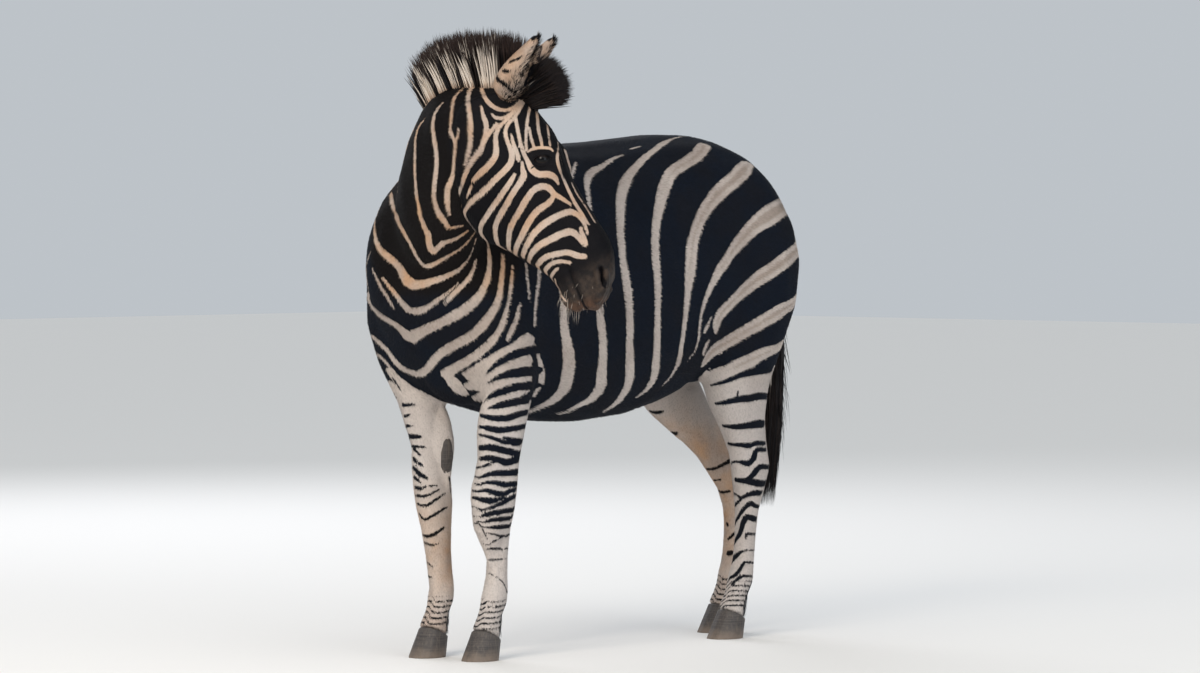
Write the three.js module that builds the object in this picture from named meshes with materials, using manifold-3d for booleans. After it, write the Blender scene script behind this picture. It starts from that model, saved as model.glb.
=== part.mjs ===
// A plains zebra as a life-size still model: standing square, its trunk bent a little to the left and its
// neck turned far to the left, so that it looks back along its own flank.
// Millimetres, +Z up. The trunk runs along X with the head end towards -X, so the animal's left is -Y.
// Places on the body are written as body(fore, left, up): how far forward of mid trunk along the bent
// backbone, how far to the left of it, and the height above the ground.
import * as THREE from "three";
import { mergeVertices } from "three/addons/utils/BufferGeometryUtils.js";
import Module from "manifold-3d";

const wasm = await Module();
wasm.setup();

const radians = THREE.MathUtils.degToRad;
const lerp = THREE.MathUtils.lerp;
const v3 = (x, y, z) => new THREE.Vector3(x, y, z);
const UP = v3(0, 0, 1);

// ---- Driving dimensions -------------------------------------------------------------------------------
const WITHERS = 1330; // height of the withers above the ground
const TRUNK = 1270; // from the breast to the buttocks, along the backbone
const BARREL = 560; // width of the belly at its widest
const HEAD = 575; // from the poll to the lips
const BEND = 0.22; // how far the backbone turns to the left, in radians for each metre
const GAP = 0.35; // clearance between neighbouring pieces
const FINEST = 0.04; // edges and steps finer than this are left out of the finished pieces

const NECK_BASE = 0.27 * TRUNK; // how far forward of mid trunk the neck's own line starts
const NECK_REACH = 0.533 * WITHERS; // length of the neck's line seen from above
const NECK_TURN = radians(123); // how far the neck turns to the left on its way
const NECK_CURL = 1.4; // over 1, the neck turns most near the head
const HEAD_TURN = radians(118); // how far the head looks to the left of the chest
const HEAD_DROP = radians(63); // how steeply the face points down
const POLL = { fore: 0, up: 1.075 * WITHERS };

// ---- The body's own coordinates -----------------------------------------------------------------------
// The backbone is an arc of a circle, so a place on the body turns with it.
const curvature = BEND / 1000;
const forwardAt = (fore) => v3(-Math.cos(curvature * fore), -Math.sin(curvature * fore), 0);
const leftAt = (fore) => v3(Math.sin(curvature * fore), -Math.cos(curvature * fore), 0);

function body(fore, left, up) {
  const turn = curvature * fore;
  return v3(-Math.sin(turn) / curvature, -(1 - Math.cos(turn)) / curvature, up)
    .addScaledVector(leftAt(fore), left);
}

// ---- Solids -------------------------------------------------------------------------------------------
function solidOf(geometry) {
  const bare = new THREE.BufferGeometry().setAttribute("position", geometry.getAttribute("position"));
  bare.setIndex(geometry.index);
  const merged = mergeVertices(bare, 1e-3);
  return new wasm.Manifold(new wasm.Mesh({
    numProp: 3,
    vertProperties: merged.attributes.position.array,
    triVerts: new Uint32Array(merged.index.array),
  }));
}

function geometryOf(solid) {
  const mesh = solid.getMesh();
  const positions = new Float32Array(mesh.numVert * 3);
  for (let i = 0; i < mesh.numVert; i++)
    positions.set(mesh.vertProperties.subarray(i * mesh.numProp, i * mesh.numProp + 3), i * 3);
  const geometry = new THREE.BufferGeometry();
  geometry.setAttribute("position", new THREE.BufferAttribute(positions, 3));
  geometry.setIndex(new THREE.BufferAttribute(mesh.triVerts, 1));
  return geometry;
}

const joined = (solids) => solids.reduce((a, b) => a.add(b));
const largest = (solid) => solid.decompose().sort((a, b) => b.volume() - a.volume())[0];

// A value that runs smoothly through the stations' own values, at a share t of the way.
function smooth(values, t) {
  const last = values.length - 1;
  const i = Math.min(Math.floor(t * last), last - 1);
  const u = t * last - i;
  const [a, b, c, d] = [i - 1, i, i + 1, i + 2].map((k) => values[Math.min(Math.max(k, 0), last)]);
  return 0.5 * (2 * b + (c - a) * u + (2 * a - 5 * b + 4 * c - d) * u * u + (3 * b - a - 3 * c + d) * u ** 3);
}

// A closed body through a list of stations. Each has a centre p, and its section reaches side out to both
// sides, front along the facing direction and back against it. power is 2 for an ellipse and more for a
// squarer section, and skew widens the front half and narrows the back one. round gives the share of the
// length over which each end closes to a dome, and grow swells the whole body. Stations may have a facing
// of their own.
function loft(stations, { facing, sides = 16, rings = 20, round = [0.06, 0.06], grow = 0 }) {
  const path = new THREE.CatmullRomCurve3(stations.map((s) => s.p), false, "catmullrom", 0.5);
  const get = (key, t, otherwise) => smooth(stations.map((s) => s[key] ?? otherwise), t);
  const lean = (t) => v3(...["x", "y", "z"].map((k) => smooth(stations.map((s) => s.facing[k]), t)));
  const dome = (t, share) => (share > 0 && t < share ? Math.sqrt(Math.max(1 - (1 - t / share) ** 2, 0)) : 1);
  const crowding = round[0] + round[1] > 0 ? 0.6 : 0; // rings crowd together where the ends close
  const positions = [];
  for (let k = 0; k <= rings; k++) {
    const t = lerp(k / rings, 0.5 - 0.5 * Math.cos((Math.PI * k) / rings), crowding);
    const centre = path.getPoint(t);
    const along = path.getTangent(t);
    const side = (facing ?? lean(t)).clone().cross(along).normalize();
    const front = along.clone().cross(side).normalize();
    const size = Math.max(dome(t, round[0]) * dome(1 - t, round[1]), 0.02);
    const power = 2 / get("power", t, 2);
    const skew = get("skew", t, 0);
    for (let i = 0; i < sides; i++) {
      const angle = ((i + 0.5) / sides) * 2 * Math.PI;
      const [c, s] = [Math.cos(angle), Math.sin(angle)];
      const reach = get(s > 0 ? "front" : "back", t);
      const across = Math.sign(c) * Math.abs(c) ** power * (get("side", t) * (1 + skew * s) + grow) * size;
      const deep = Math.sign(s) * Math.abs(s) ** power * (reach + grow) * size;
      positions.push(...centre.clone().addScaledVector(side, across).addScaledVector(front, deep).toArray());
    }
  }
  const ends = [0, 1].map((t) => positions.push(...path.getPoint(t).toArray()) / 3 - 1);
  const faces = [];
  for (let k = 0; k < rings; k++)
    for (let i = 0; i < sides; i++) {
      const [a, b] = [k * sides + i, k * sides + ((i + 1) % sides)];
      faces.push(a, b, b + sides, a, b + sides, a + sides);
    }
  for (let i = 0; i < sides; i++) {
    const j = (i + 1) % sides;
    faces.push(ends[0], j, i, ends[1], rings * sides + i, rings * sides + j);
  }
  const geometry = new THREE.BufferGeometry();
  geometry.setAttribute("position", new THREE.Float32BufferAttribute(positions, 3));
  geometry.setIndex(faces);
  return solidOf(geometry);
}

// An ellipsoid whose radii run along three directions of its own.
function ellipsoid(centre, [a, b, c], radii, { sides = 16, rings = 10, grow = 0 } = {}) {
  const geometry = new THREE.SphereGeometry(1, sides, rings);
  geometry.scale(...radii.map((r) => r + grow));
  geometry.applyMatrix4(new THREE.Matrix4().makeBasis(a, b, c).setPosition(centre));
  return solidOf(geometry);
}

// Keeps the part of a solid on the side of a plane that the direction points to.
const keep = (solid, direction, point, gap = 0) =>
  solid.trimByPlane(direction.toArray(), direction.dot(point) / direction.length() + gap);

// ---- Trunk --------------------------------------------------------------------------------------------
// at is a share of the trunk's length forward of its middle, top, wide and low are shares of the withers'
// height, and side is a share of the barrel's width. wide is the height where the section is widest.
const TRUNK_SECTIONS = [
  { at: -0.518, top: 0.935, wide: 0.795, low: 0.640, side: 0.370 },
  { at: -0.450, top: 0.965, wide: 0.785, low: 0.605, side: 0.415 },
  { at: -0.350, top: 0.998, wide: 0.770, low: 0.560, side: 0.455 },
  { at: -0.240, top: 1.008, wide: 0.750, low: 0.510, side: 0.470 },
  { at: -0.120, top: 1.000, wide: 0.715, low: 0.465, side: 0.485 },
  { at: 0.000, top: 0.987, wide: 0.685, low: 0.441, side: 0.500 },
  { at: 0.120, top: 0.978, wide: 0.685, low: 0.440, side: 0.490 },
  { at: 0.220, top: 0.985, wide: 0.695, low: 0.453, side: 0.465 },
  { at: 0.310, top: 0.998, wide: 0.705, low: 0.470, side: 0.445 },
  { at: 0.400, top: 0.970, wide: 0.710, low: 0.485, side: 0.430 },
  { at: 0.480, top: 0.920, wide: 0.705, low: 0.510, side: 0.410 },
  { at: 0.558, top: 0.860, wide: 0.690, low: 0.545, side: 0.370 },
];

function trunk(grow = 0) {
  const stations = TRUNK_SECTIONS.map(({ at, top, wide, low, side }) => ({
    p: body(at * TRUNK, 0, wide * WITHERS),
    side: side * BARREL,
    front: (top - wide) * WITHERS,
    back: (wide - low) * WITHERS,
    power: 2.15,
  }));
  return loft(stations, { facing: UP, sides: 20, rings: 22, round: [0.15, 0.17], grow });
}

// ---- Neck ---------------------------------------------------------------------------------------------
// The neck's line turns left along an arc while it rises.
const chest = { forward: forwardAt(NECK_BASE), left: leftAt(NECK_BASE) };
const turned = (angle) => chest.forward.clone().multiplyScalar(Math.cos(angle))
  .addScaledVector(chest.left, Math.sin(angle));

function neckLine(t, up) {
  const steps = 24;
  const place = body(NECK_BASE, 0, up);
  for (let k = 0; k < steps; k++) {
    const share = ((k + 0.5) / steps) * t;
    place.addScaledVector(turned(NECK_TURN * share ** NECK_CURL), (NECK_REACH * t) / steps);
  }
  return place;
}

// at is a share of the neck's line, and the rest are shares of the withers' height.
const NECK_SECTIONS = [
  { at: 0.00, mid: 0.770, crest: 0.220, throat: 0.190, side: 0.125 },
  { at: 0.20, mid: 0.820, crest: 0.205, throat: 0.185, side: 0.122 },
  { at: 0.40, mid: 0.875, crest: 0.180, throat: 0.165, side: 0.098 },
  { at: 0.60, mid: 0.930, crest: 0.150, throat: 0.135, side: 0.078 },
  { at: 0.80, mid: 0.965, crest: 0.122, throat: 0.112, side: 0.068 },
  { at: 1.00, mid: 0.965, crest: 0.105, throat: 0.100, side: 0.062 },
];

function neck(grow = 0) {
  const stations = NECK_SECTIONS.map(({ at, mid, crest, throat, side }) => ({
    p: neckLine(at, mid * WITHERS),
    side: side * WITHERS,
    front: crest * WITHERS,
    back: throat * WITHERS,
    skew: -0.12,
  }));
  return loft(stations, { facing: UP, sides: 18, rings: 14, round: [0.05, 0.08], grow });
}

// ---- Head ---------------------------------------------------------------------------------------------
const heading = turned(HEAD_TURN);
const inHead = (angle) =>
  heading.clone().multiplyScalar(Math.cos(angle)).addScaledVector(UP, Math.sin(angle));
const faceAxis = inHead(-HEAD_DROP);
const faceOut = inHead(radians(90) - HEAD_DROP);
const faceLeft = faceOut.clone().cross(faceAxis).normalize();
const poll = neckLine(0.94, POLL.up);

// A place on the head: how far down the face from the poll, out of the line of the face and to the left,
// as shares of the head's length.
const head = (down, out = 0, left = 0) => poll.clone()
  .addScaledVector(faceAxis, down * HEAD)
  .addScaledVector(faceOut, out * HEAD)
  .addScaledVector(faceLeft, left * HEAD);

// The face's line and the jaw's line stand out or in of the axis, and side is the half width.
const HEAD_SECTIONS = [
  { at: -0.06, face: -0.020, jaw: -0.260, side: 0.085 },
  { at: 0.06, face: 0.020, jaw: -0.350, side: 0.125 },
  { at: 0.18, face: 0.040, jaw: -0.415, side: 0.150 },
  { at: 0.30, face: 0.045, jaw: -0.415, side: 0.160 },
  { at: 0.42, face: 0.036, jaw: -0.370, side: 0.145 },
  { at: 0.54, face: 0.024, jaw: -0.305, side: 0.118 },
  { at: 0.66, face: 0.012, jaw: -0.250, side: 0.098 },
  { at: 0.78, face: 0.004, jaw: -0.212, side: 0.090 },
  { at: 0.89, face: -0.008, jaw: -0.210, side: 0.100 },
  { at: 1.00, face: -0.045, jaw: -0.192, side: 0.086 },
];

function skull(grow = 0) {
  const stations = HEAD_SECTIONS.map(({ at, face, jaw, side }) => {
    const mid = lerp(face, jaw, 0.47);
    return {
      p: head(at, mid),
      side: side * HEAD,
      front: (face - mid) * HEAD,
      back: (mid - jaw) * HEAD,
      power: 2.3,
    };
  });
  return loft(stations, { facing: faceOut, sides: 16, rings: 17, round: [0.05, 0.09], grow });
}

// ---- Legs ---------------------------------------------------------------------------------------------
// at is a share of the trunk's length forward of its middle, left is a share of the barrel's width, up a
// share of the withers' height, and side, front and back are the section's reach in millimetres.
const FORELEG = [
  { at: 0.265, left: 0.180, up: 0.940, side: 55, front: 80, back: 90 },
  { at: 0.330, left: 0.235, up: 0.830, side: 100, front: 130, back: 140 },
  { at: 0.385, left: 0.265, up: 0.720, side: 104, front: 135, back: 155 },
  { at: 0.395, left: 0.272, up: 0.620, side: 90, front: 112, back: 135 },
  { at: 0.376, left: 0.258, up: 0.530, side: 68, front: 76, back: 88 },
  { at: 0.364, left: 0.230, up: 0.440, side: 51, front: 56, back: 57 },
  { at: 0.360, left: 0.200, up: 0.360, side: 44, front: 44, back: 47 },
  { at: 0.360, left: 0.184, up: 0.305, side: 48, front: 47, back: 50 },
  { at: 0.357, left: 0.172, up: 0.258, side: 35, front: 35, back: 42 },
  { at: 0.355, left: 0.164, up: 0.200, side: 28, front: 28, back: 36 },
  { at: 0.355, left: 0.158, up: 0.150, side: 29, front: 29, back: 38 },
  { at: 0.358, left: 0.154, up: 0.118, side: 35, front: 35, back: 42 },
  { at: 0.370, left: 0.152, up: 0.086, side: 31, front: 31, back: 34 },
  { at: 0.382, left: 0.152, up: 0.056, side: 37, front: 38, back: 38 },
  { at: 0.392, left: 0.152, up: 0.030, side: 37, front: 38, back: 38 },
];

const HINDLEG = [
  { at: -0.300, left: 0.190, up: 0.930, side: 80, front: 120, back: 130 },
  { at: -0.350, left: 0.240, up: 0.820, side: 115, front: 190, back: 175 },
  { at: -0.362, left: 0.258, up: 0.710, side: 120, front: 200, back: 162 },
  { at: -0.340, left: 0.268, up: 0.610, side: 100, front: 176, back: 142 },
  { at: -0.332, left: 0.260, up: 0.525, side: 76, front: 120, back: 118 },
  { at: -0.356, left: 0.240, up: 0.445, side: 55, front: 74, back: 88 },
  { at: -0.386, left: 0.220, up: 0.385, side: 44, front: 56, back: 70 },
  { at: -0.404, left: 0.205, up: 0.338, side: 42, front: 55, back: 74 },
  { at: -0.408, left: 0.196, up: 0.292, side: 38, front: 44, back: 54 },
  { at: -0.405, left: 0.190, up: 0.240, side: 29, front: 31, back: 40 },
  { at: -0.402, left: 0.186, up: 0.180, side: 28, front: 29, back: 38 },
  { at: -0.398, left: 0.183, up: 0.142, side: 30, front: 31, back: 38 },
  { at: -0.393, left: 0.181, up: 0.116, side: 34, front: 36, back: 42 },
  { at: -0.382, left: 0.180, up: 0.086, side: 31, front: 32, back: 34 },
  { at: -0.370, left: 0.180, up: 0.056, side: 36, front: 37, back: 38 },
  { at: -0.360, left: 0.180, up: 0.030, side: 36, front: 37, back: 38 },
];

// Each leg's foot is set forward and outward of a square stance by its own step, which is whole at the
// hock or knee and has faded out at STEP_TOP. top is where the leg leaves the body.
const STEP_TOP = 0.52;
const STEP_FADE = 0.24;
const LEGS = {
  front_left: { joints: FORELEG, hand: 1, step: { fore: 0, out: 0 }, top: 0.490 },
  front_right: { joints: FORELEG, hand: -1, step: { fore: 0, out: 0 }, top: 0.490 },
  hind_left: { joints: HINDLEG, hand: 1, step: { fore: 15, out: -5 }, top: 0.540 },
  hind_right: { joints: HINDLEG, hand: -1, step: { fore: -100, out: -30 }, top: 0.540 },
};

function legPlace(leg, joint) {
  const share = THREE.MathUtils.clamp((STEP_TOP - joint.up) / STEP_FADE, 0, 1);
  return body(
    joint.at * TRUNK + leg.step.fore * share,
    leg.hand * (joint.left * BARREL + leg.step.out * share),
    joint.up * WITHERS,
  );
}

function limb(leg, grow = 0) {
  const stations = leg.joints.map((joint) => ({ ...joint, p: legPlace(leg, joint), power: 2.1 }));
  const facing = forwardAt(leg.joints[0].at * TRUNK);
  return loft(stations, { facing, sides: 12, rings: 23, round: [0.12, 0], grow });
}

// The hoof's top slants down to the heel along the coronet, and its sole is flat on the ground.
const CORONET = 0.047 * WITHERS;
const HOOF = { side: 43, toe: 51, heel: 44, top: 37 };
const HOOF_SLOPE = 0.32;

function coronet(leg) {
  const ahead = forwardAt(leg.joints[0].at * TRUNK);
  const last = leg.joints.length - 2;
  const centre = legPlace(leg, leg.joints[last]).setZ(CORONET);
  return { ahead, centre, up: UP.clone().addScaledVector(ahead, -0.45).normalize() };
}

function hoof(leg) {
  const { ahead, centre, up } = coronet(leg);
  const ring = (z) => {
    const share = z / CORONET;
    return {
      p: centre.clone().setZ(z).addScaledVector(ahead, (CORONET - z) * HOOF_SLOPE),
      side: lerp(HOOF.side, HOOF.top, share),
      front: lerp(HOOF.toe, HOOF.top, share),
      back: lerp(HOOF.heel, HOOF.top, share),
      power: 2.2,
    };
  };
  const block = loft([ring(-0.6 * CORONET), ring(0.4 * CORONET), ring(1.8 * CORONET)],
    { facing: ahead, sides: 14, rings: 2, round: [0, 0] });
  return keep(keep(block, UP, v3(0, 0, 0)), up.clone().negate(), centre);
}

// ---- Ears, eyes and nostrils --------------------------------------------------------------------------
const EAR = { long: 0.325 * HEAD, pitch: radians(62), splay: 0.22 };

// along runs from the ear's root to its tip, and opening is the way its cup faces.
function ear(hand, grow = 0) {
  const out = faceLeft.clone().multiplyScalar(hand);
  const along = faceAxis.clone().multiplyScalar(-Math.cos(EAR.pitch))
    .addScaledVector(faceOut, Math.sin(EAR.pitch)).addScaledVector(out, EAR.splay).normalize();
  const opening = faceAxis.clone().multiplyScalar(Math.sin(EAR.pitch))
    .addScaledVector(faceOut, Math.cos(EAR.pitch)).addScaledVector(out, 0.05).normalize();
  const root = head(0.005, -0.085, hand * 0.105);
  const leaf = (list, shift) => list.map(({ t, side, deep }) => ({
    p: root.clone().addScaledVector(along, t * EAR.long).addScaledVector(opening, shift(t)),
    side, front: deep, back: deep,
  }));
  const shell = loft(leaf([
    { t: 0.00, side: 31, deep: 32 }, { t: 0.18, side: 37, deep: 39 }, { t: 0.36, side: 40, deep: 41 },
    { t: 0.54, side: 38, deep: 37 }, { t: 0.72, side: 30, deep: 27 }, { t: 0.88, side: 17, deep: 16 },
    { t: 1.00, side: 9, deep: 9 },
  ], (t) => 8 * Math.sin(Math.PI * t)), { facing: opening, sides: 12, rings: 9, round: [0.08, 0.08], grow });
  if (grow > 0) return shell;
  const cup = loft(leaf([
    { t: 0.24, side: 12, deep: 20 }, { t: 0.40, side: 28, deep: 34 }, { t: 0.60, side: 28, deep: 32 },
    { t: 0.78, side: 20, deep: 25 }, { t: 0.96, side: 7, deep: 16 },
  ], (t) => 20 + 6 * Math.sin(Math.PI * t)), { facing: opening, sides: 10, rings: 7, round: [0.2, 0.15] });
  return shell.subtract(cup);
}

const EYE = { down: 0.338, out: -0.042, side: 0.122, radius: 20 };
const faceWay = [faceAxis, faceLeft, faceOut];
const bulge = (down, out, left, radii, grow, sides = 12, rings = 7) =>
  ellipsoid(head(down, out, left), faceWay, radii, { sides, rings, grow });

const eye = (hand, grow = 0) => {
  const { down, out, side, radius } = EYE;
  return bulge(down, out, hand * side, [radius, radius, radius], grow);
};

// The head's solid mass: the skull with its brows, cheeks, nostril rims and chin.
function headMass(grow = 0) {
  const parts = [skull(grow), bulge(0.905, -0.188, 0, [38, 34, 25], grow)];
  for (const hand of [1, -1]) {
    parts.push(bulge(EYE.down - 0.01, EYE.out, hand * 0.096, [72, 30, 50], grow));
    parts.push(bulge(0.25, -0.27, hand * 0.085, [95, 40, 72], grow, 12, 8));
    parts.push(bulge(0.90, -0.066, hand * 0.064, [46, 22, 28], grow));
  }
  return joined(parts);
}

const nostril = (hand) => bulge(0.925, -0.052, hand * 0.098, [17, 12, 10], 0, 8, 6);

// ---- Mane and forelock --------------------------------------------------------------------------------
// The hair stands up in a blade along the crest, over the poll and down between the ears, in a fan.
function maneStations() {
  const onNeck = (t, hair, lean) => {
    const rise = smooth(NECK_SECTIONS.map(({ mid, crest }) => mid + crest), t) * WITHERS;
    return { root: neckLine(t, rise), hair, way: UP.clone().addScaledVector(faceOut, lean).normalize() };
  };
  const onHead = (down, out, hair, tilt) => ({
    root: head(down, out), hair,
    way: faceOut.clone().multiplyScalar(Math.cos(tilt)).addScaledVector(faceAxis, Math.sin(tilt)),
  });
  return [
    onNeck(0.06, 55, -0.2), onNeck(0.24, 90, -0.3), onNeck(0.42, 120, -0.45), onNeck(0.60, 132, -0.35),
    onNeck(0.78, 134, -0.15), onNeck(0.94, 134, 0.15),
    onHead(0.01, 0.02, 130, radians(-18)),
    onHead(0.08, 0.03, 108, radians(0)),
    onHead(0.14, 0.04, 88, radians(18)),
  ];
}

function hairBlade() {
  const sink = 40;
  const stations = maneStations().map(({ root, hair, way }) => ({
    p: root.clone().addScaledVector(way, (hair - sink) / 2),
    facing: way, side: 30, front: (hair + sink) / 2, back: (hair + sink) / 2, power: 2.6, skew: -0.12,
  }));
  return loft(stations, { sides: 10, rings: 18, round: [0.06, 0.05] });
}

// ---- Tail ---------------------------------------------------------------------------------------------
const TAIL = [
  { at: -0.420, up: 0.910, side: 36, deep: 30 },
  { at: -0.475, up: 0.903, side: 34, deep: 30 },
  { at: -0.518, up: 0.866, side: 31, deep: 27 },
  { at: -0.538, up: 0.800, side: 30, deep: 25 },
  { at: -0.543, up: 0.720, side: 29, deep: 24 },
  { at: -0.538, up: 0.640, side: 27, deep: 22 },
  { at: -0.532, up: 0.580, side: 24, deep: 20 },
];
const SWITCH = [
  { at: -0.538, up: 0.650, side: 33, deep: 29 },
  { at: -0.532, up: 0.560, side: 44, deep: 40 },
  { at: -0.522, up: 0.460, side: 46, deep: 42 },
  { at: -0.513, up: 0.360, side: 38, deep: 34 },
  { at: -0.508, up: 0.250, side: 15, deep: 14 },
];
const TAIL_SWAY = 10; // the tail hangs this far to the left of the middle, more so lower down
const tailLoft = (list, options) => loft(list.map(({ at, up, side, deep }) => ({
  p: body(at * TRUNK, TAIL_SWAY * (0.95 - up) / 0.35, up * WITHERS), side, front: deep, back: deep,
})), { facing: forwardAt(-0.5 * TRUNK), ...options });
const dock = (grow = 0) => tailLoft(TAIL, { sides: 10, rings: 10, round: [0.05, 0.08], grow });
const brush = () => tailLoft(SWITCH, { sides: 12, rings: 8, round: [0.08, 0.1] });

// ---- The model ----------------------------------------------------------------------------------------
const finish = (color, roughness = 0.85) => new THREE.MeshStandardMaterial({ color, roughness });
const coat = finish(0xd8cfc4);
const darkHair = finish(0x1c1714);
const horn = finish(0x2b2826, 0.6);
const wet = finish(0x120d0b, 0.1);

const hands = { left: 1, right: -1 };
const less = (solid, ...others) => others.reduce((rest, other) => rest.subtract(other), solid);
const down = UP.clone().negate();
const ROOM = solidOf(new THREE.BoxGeometry(4 * TRUNK, 4 * TRUNK, 4 * WITHERS)); // holds the whole animal
const pieces = {};

// Head, with sockets for the eyes and hollows for the nostrils. The neck ends in a hollow around it.
const grownHead = headMass(GAP);
pieces.head = [less(headMass(), ...[1, -1].flatMap((hand) => [eye(hand, GAP), nostril(hand)])), coat];
for (const [side, hand] of Object.entries(hands)) {
  pieces[`eye_${side}`] = [eye(hand), wet];
  pieces[`ear_${side}`] = [less(ear(hand), grownHead, neck(GAP)), coat];
}

// The legs leave the body at a level of their own. The neck is parted from the trunk by a slanting plane
// before the shoulders and a level one over the breast.
const legs = Object.entries(LEGS);
const upper = joined(legs.map(([, leg]) => keep(limb(leg), UP, v3(0, 0, leg.top * WITHERS))));
const lower = joined(legs.map(([, leg]) => keep(limb(leg, GAP), down, v3(0, 0, leg.top * WITHERS))));
const slant = turned(radians(24)).multiplyScalar(0.88).addScaledVector(UP, 0.46).normalize();
const slantAt = neckLine(0.27, 0.86 * WITHERS);
const breastTop = v3(0, 0, 0.69 * WITHERS);
const bodyMass = joined([trunk(), upper, neck()]);
const beforeNeck = (gap) => keep(keep(ROOM, slant, slantAt, gap), UP, breastTop, gap);
pieces.trunk = [less(bodyMass, beforeNeck(0), lower, dock(GAP)), coat];
pieces.neck = [largest(less(bodyMass.intersect(beforeNeck(GAP)), grownHead)), coat];

const crest = less(hairBlade(), neck(GAP), trunk(GAP), grownHead, ear(1, GAP), ear(-1, GAP));
pieces.mane = [largest(keep(crest, faceAxis.clone().negate(), head(0.035), GAP / 2)), darkHair];
pieces.forelock = [largest(keep(crest, faceAxis, head(0.035), GAP / 2)), darkHair];

pieces.tail = [dock(), coat];
pieces.tail_switch = [less(brush(), dock(GAP)), darkHair];

for (const [name, leg] of legs) {
  const top = coronet(leg);
  const low = keep(limb(leg), down, v3(0, 0, leg.top * WITHERS), GAP);
  pieces[`leg_${name}`] = [keep(low, top.up, top.centre, GAP), coat];
  pieces[`hoof_${name}`] = [hoof(leg), horn];
}

// The model is set down with the middle of its own bounds over the origin.
const bounds = joined(Object.values(pieces).map(([solid]) => solid)).boundingBox();
const shift = [0, 1].map((k) => -(bounds.min[k] + bounds.max[k]) / 2);
const model = new THREE.Group();
for (const [name, [solid, material]] of Object.entries(pieces)) {
  const clean = solid.translate([...shift, 0]).simplify(FINEST);
  const mesh = new THREE.Mesh(geometryOf(clean), material);
  mesh.name = name;
  model.add(mesh);
}

export default model;
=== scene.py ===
import math

import bpy
import numpy as np
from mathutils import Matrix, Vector
from mathutils.bvhtree import BVHTree


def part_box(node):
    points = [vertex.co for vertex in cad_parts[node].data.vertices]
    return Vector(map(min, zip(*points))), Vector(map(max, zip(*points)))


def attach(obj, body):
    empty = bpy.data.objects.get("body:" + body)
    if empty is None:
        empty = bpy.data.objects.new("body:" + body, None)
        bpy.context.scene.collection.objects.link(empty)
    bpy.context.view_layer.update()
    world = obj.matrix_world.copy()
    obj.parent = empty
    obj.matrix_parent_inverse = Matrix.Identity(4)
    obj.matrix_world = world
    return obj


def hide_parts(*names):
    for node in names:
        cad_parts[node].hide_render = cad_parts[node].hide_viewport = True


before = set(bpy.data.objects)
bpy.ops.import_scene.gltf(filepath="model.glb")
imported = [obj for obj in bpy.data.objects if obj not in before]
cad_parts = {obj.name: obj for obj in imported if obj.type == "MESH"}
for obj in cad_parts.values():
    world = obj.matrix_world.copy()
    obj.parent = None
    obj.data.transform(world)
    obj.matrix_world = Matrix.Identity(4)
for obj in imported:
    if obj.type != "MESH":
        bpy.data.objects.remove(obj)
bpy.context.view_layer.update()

chance = np.random.default_rng(7)


# ---- Sizes, in metres ---------------------------------------------------------------------------------
WITHERS = 1.330
TRUNK = 1.270
HEAD = 0.575
BEND = 0.22
NECK_BASE = 0.27 * TRUNK
NECK_REACH = 0.533 * WITHERS
NECK_TURN = math.radians(123)
NECK_CURL = 1.4
NECK_MIDS = (0.770, 0.820, 0.875, 0.930, 0.965, 0.965)
NECK_CRESTS = (0.220, 0.205, 0.180, 0.150, 0.122, 0.105)
HEAD_TURN = math.radians(118)
HEAD_DROP = math.radians(63)
POLL_T = 0.94
POLL_UP = 1.075 * WITHERS
EYE = {"down": 0.338, "out": -0.042, "side": 0.122, "radius": 0.020}
COAT_DEPTH = 0.0035
VOXEL = 0.0048
OVERLAP = 0.0010
WELD = 0.00002
SKIN_FACES = 172000
ROUGH_BROAD = 0.0003
ROUGH_FINE = 0.0009
UP = np.array((0.0, 0.0, 1.0))


def unit(v):
    v = np.asarray(v, float)
    return v / np.maximum(np.linalg.norm(v, axis=-1, keepdims=True), 1e-12)


def between(x, low, high):
    """0 below low, 1 above high, and a smooth rise from one to the other."""
    t = np.clip((np.asarray(x, float) - low) / (high - low), 0, 1)
    return t * t * (3 - 2 * t)


# ---- The body's own coordinates -----------------------------------------------------------------------
def forward_at(fore):
    return np.array((-math.cos(BEND * fore), -math.sin(BEND * fore), 0.0))


def left_at(fore):
    return np.array((math.sin(BEND * fore), -math.cos(BEND * fore), 0.0))


def forwards_at(fore):
    return np.stack((-np.cos(BEND * fore), -np.sin(BEND * fore), np.zeros_like(fore)), -1)


def asides_at(fore):
    return np.stack((np.sin(BEND * fore), -np.cos(BEND * fore), np.zeros_like(fore)), -1)


def body(fore, left, up):
    turn = BEND * fore
    spine = np.array((-math.sin(turn) / BEND, -(1 - math.cos(turn)) / BEND, up))
    return SHIFT + spine + left_at(fore) * left


def body_from(points):
    """How far forward, to the left and up each point lies on the bent body."""
    flat = np.atleast_2d(points) - SHIFT
    x, y = flat[:, 0], flat[:, 1] + 1 / BEND
    fore = np.arctan2(-x, y) / BEND
    left = 1 / BEND - np.hypot(x, y)
    return np.stack((fore, left, flat[:, 2]), 1)


def turned(angle):
    return forward_at(NECK_BASE) * math.cos(angle) + left_at(NECK_BASE) * math.sin(angle)


def neck_line(t, up):
    steps = 24
    place = body(NECK_BASE, 0, up)
    for k in range(steps):
        share = (k + 0.5) / steps * t
        place = place + turned(NECK_TURN * share**NECK_CURL) * (NECK_REACH * t / steps)
    return place


def in_head(angle):
    return turned(HEAD_TURN) * math.cos(angle) + UP * math.sin(angle)


SHIFT = np.zeros(3)
face_axis = in_head(-HEAD_DROP)
face_out = in_head(math.pi / 2 - HEAD_DROP)
face_left = unit(np.cross(face_out, face_axis))
face_ways = np.stack((face_axis, face_out, face_left))
poll = neck_line(POLL_T, POLL_UP)


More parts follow.
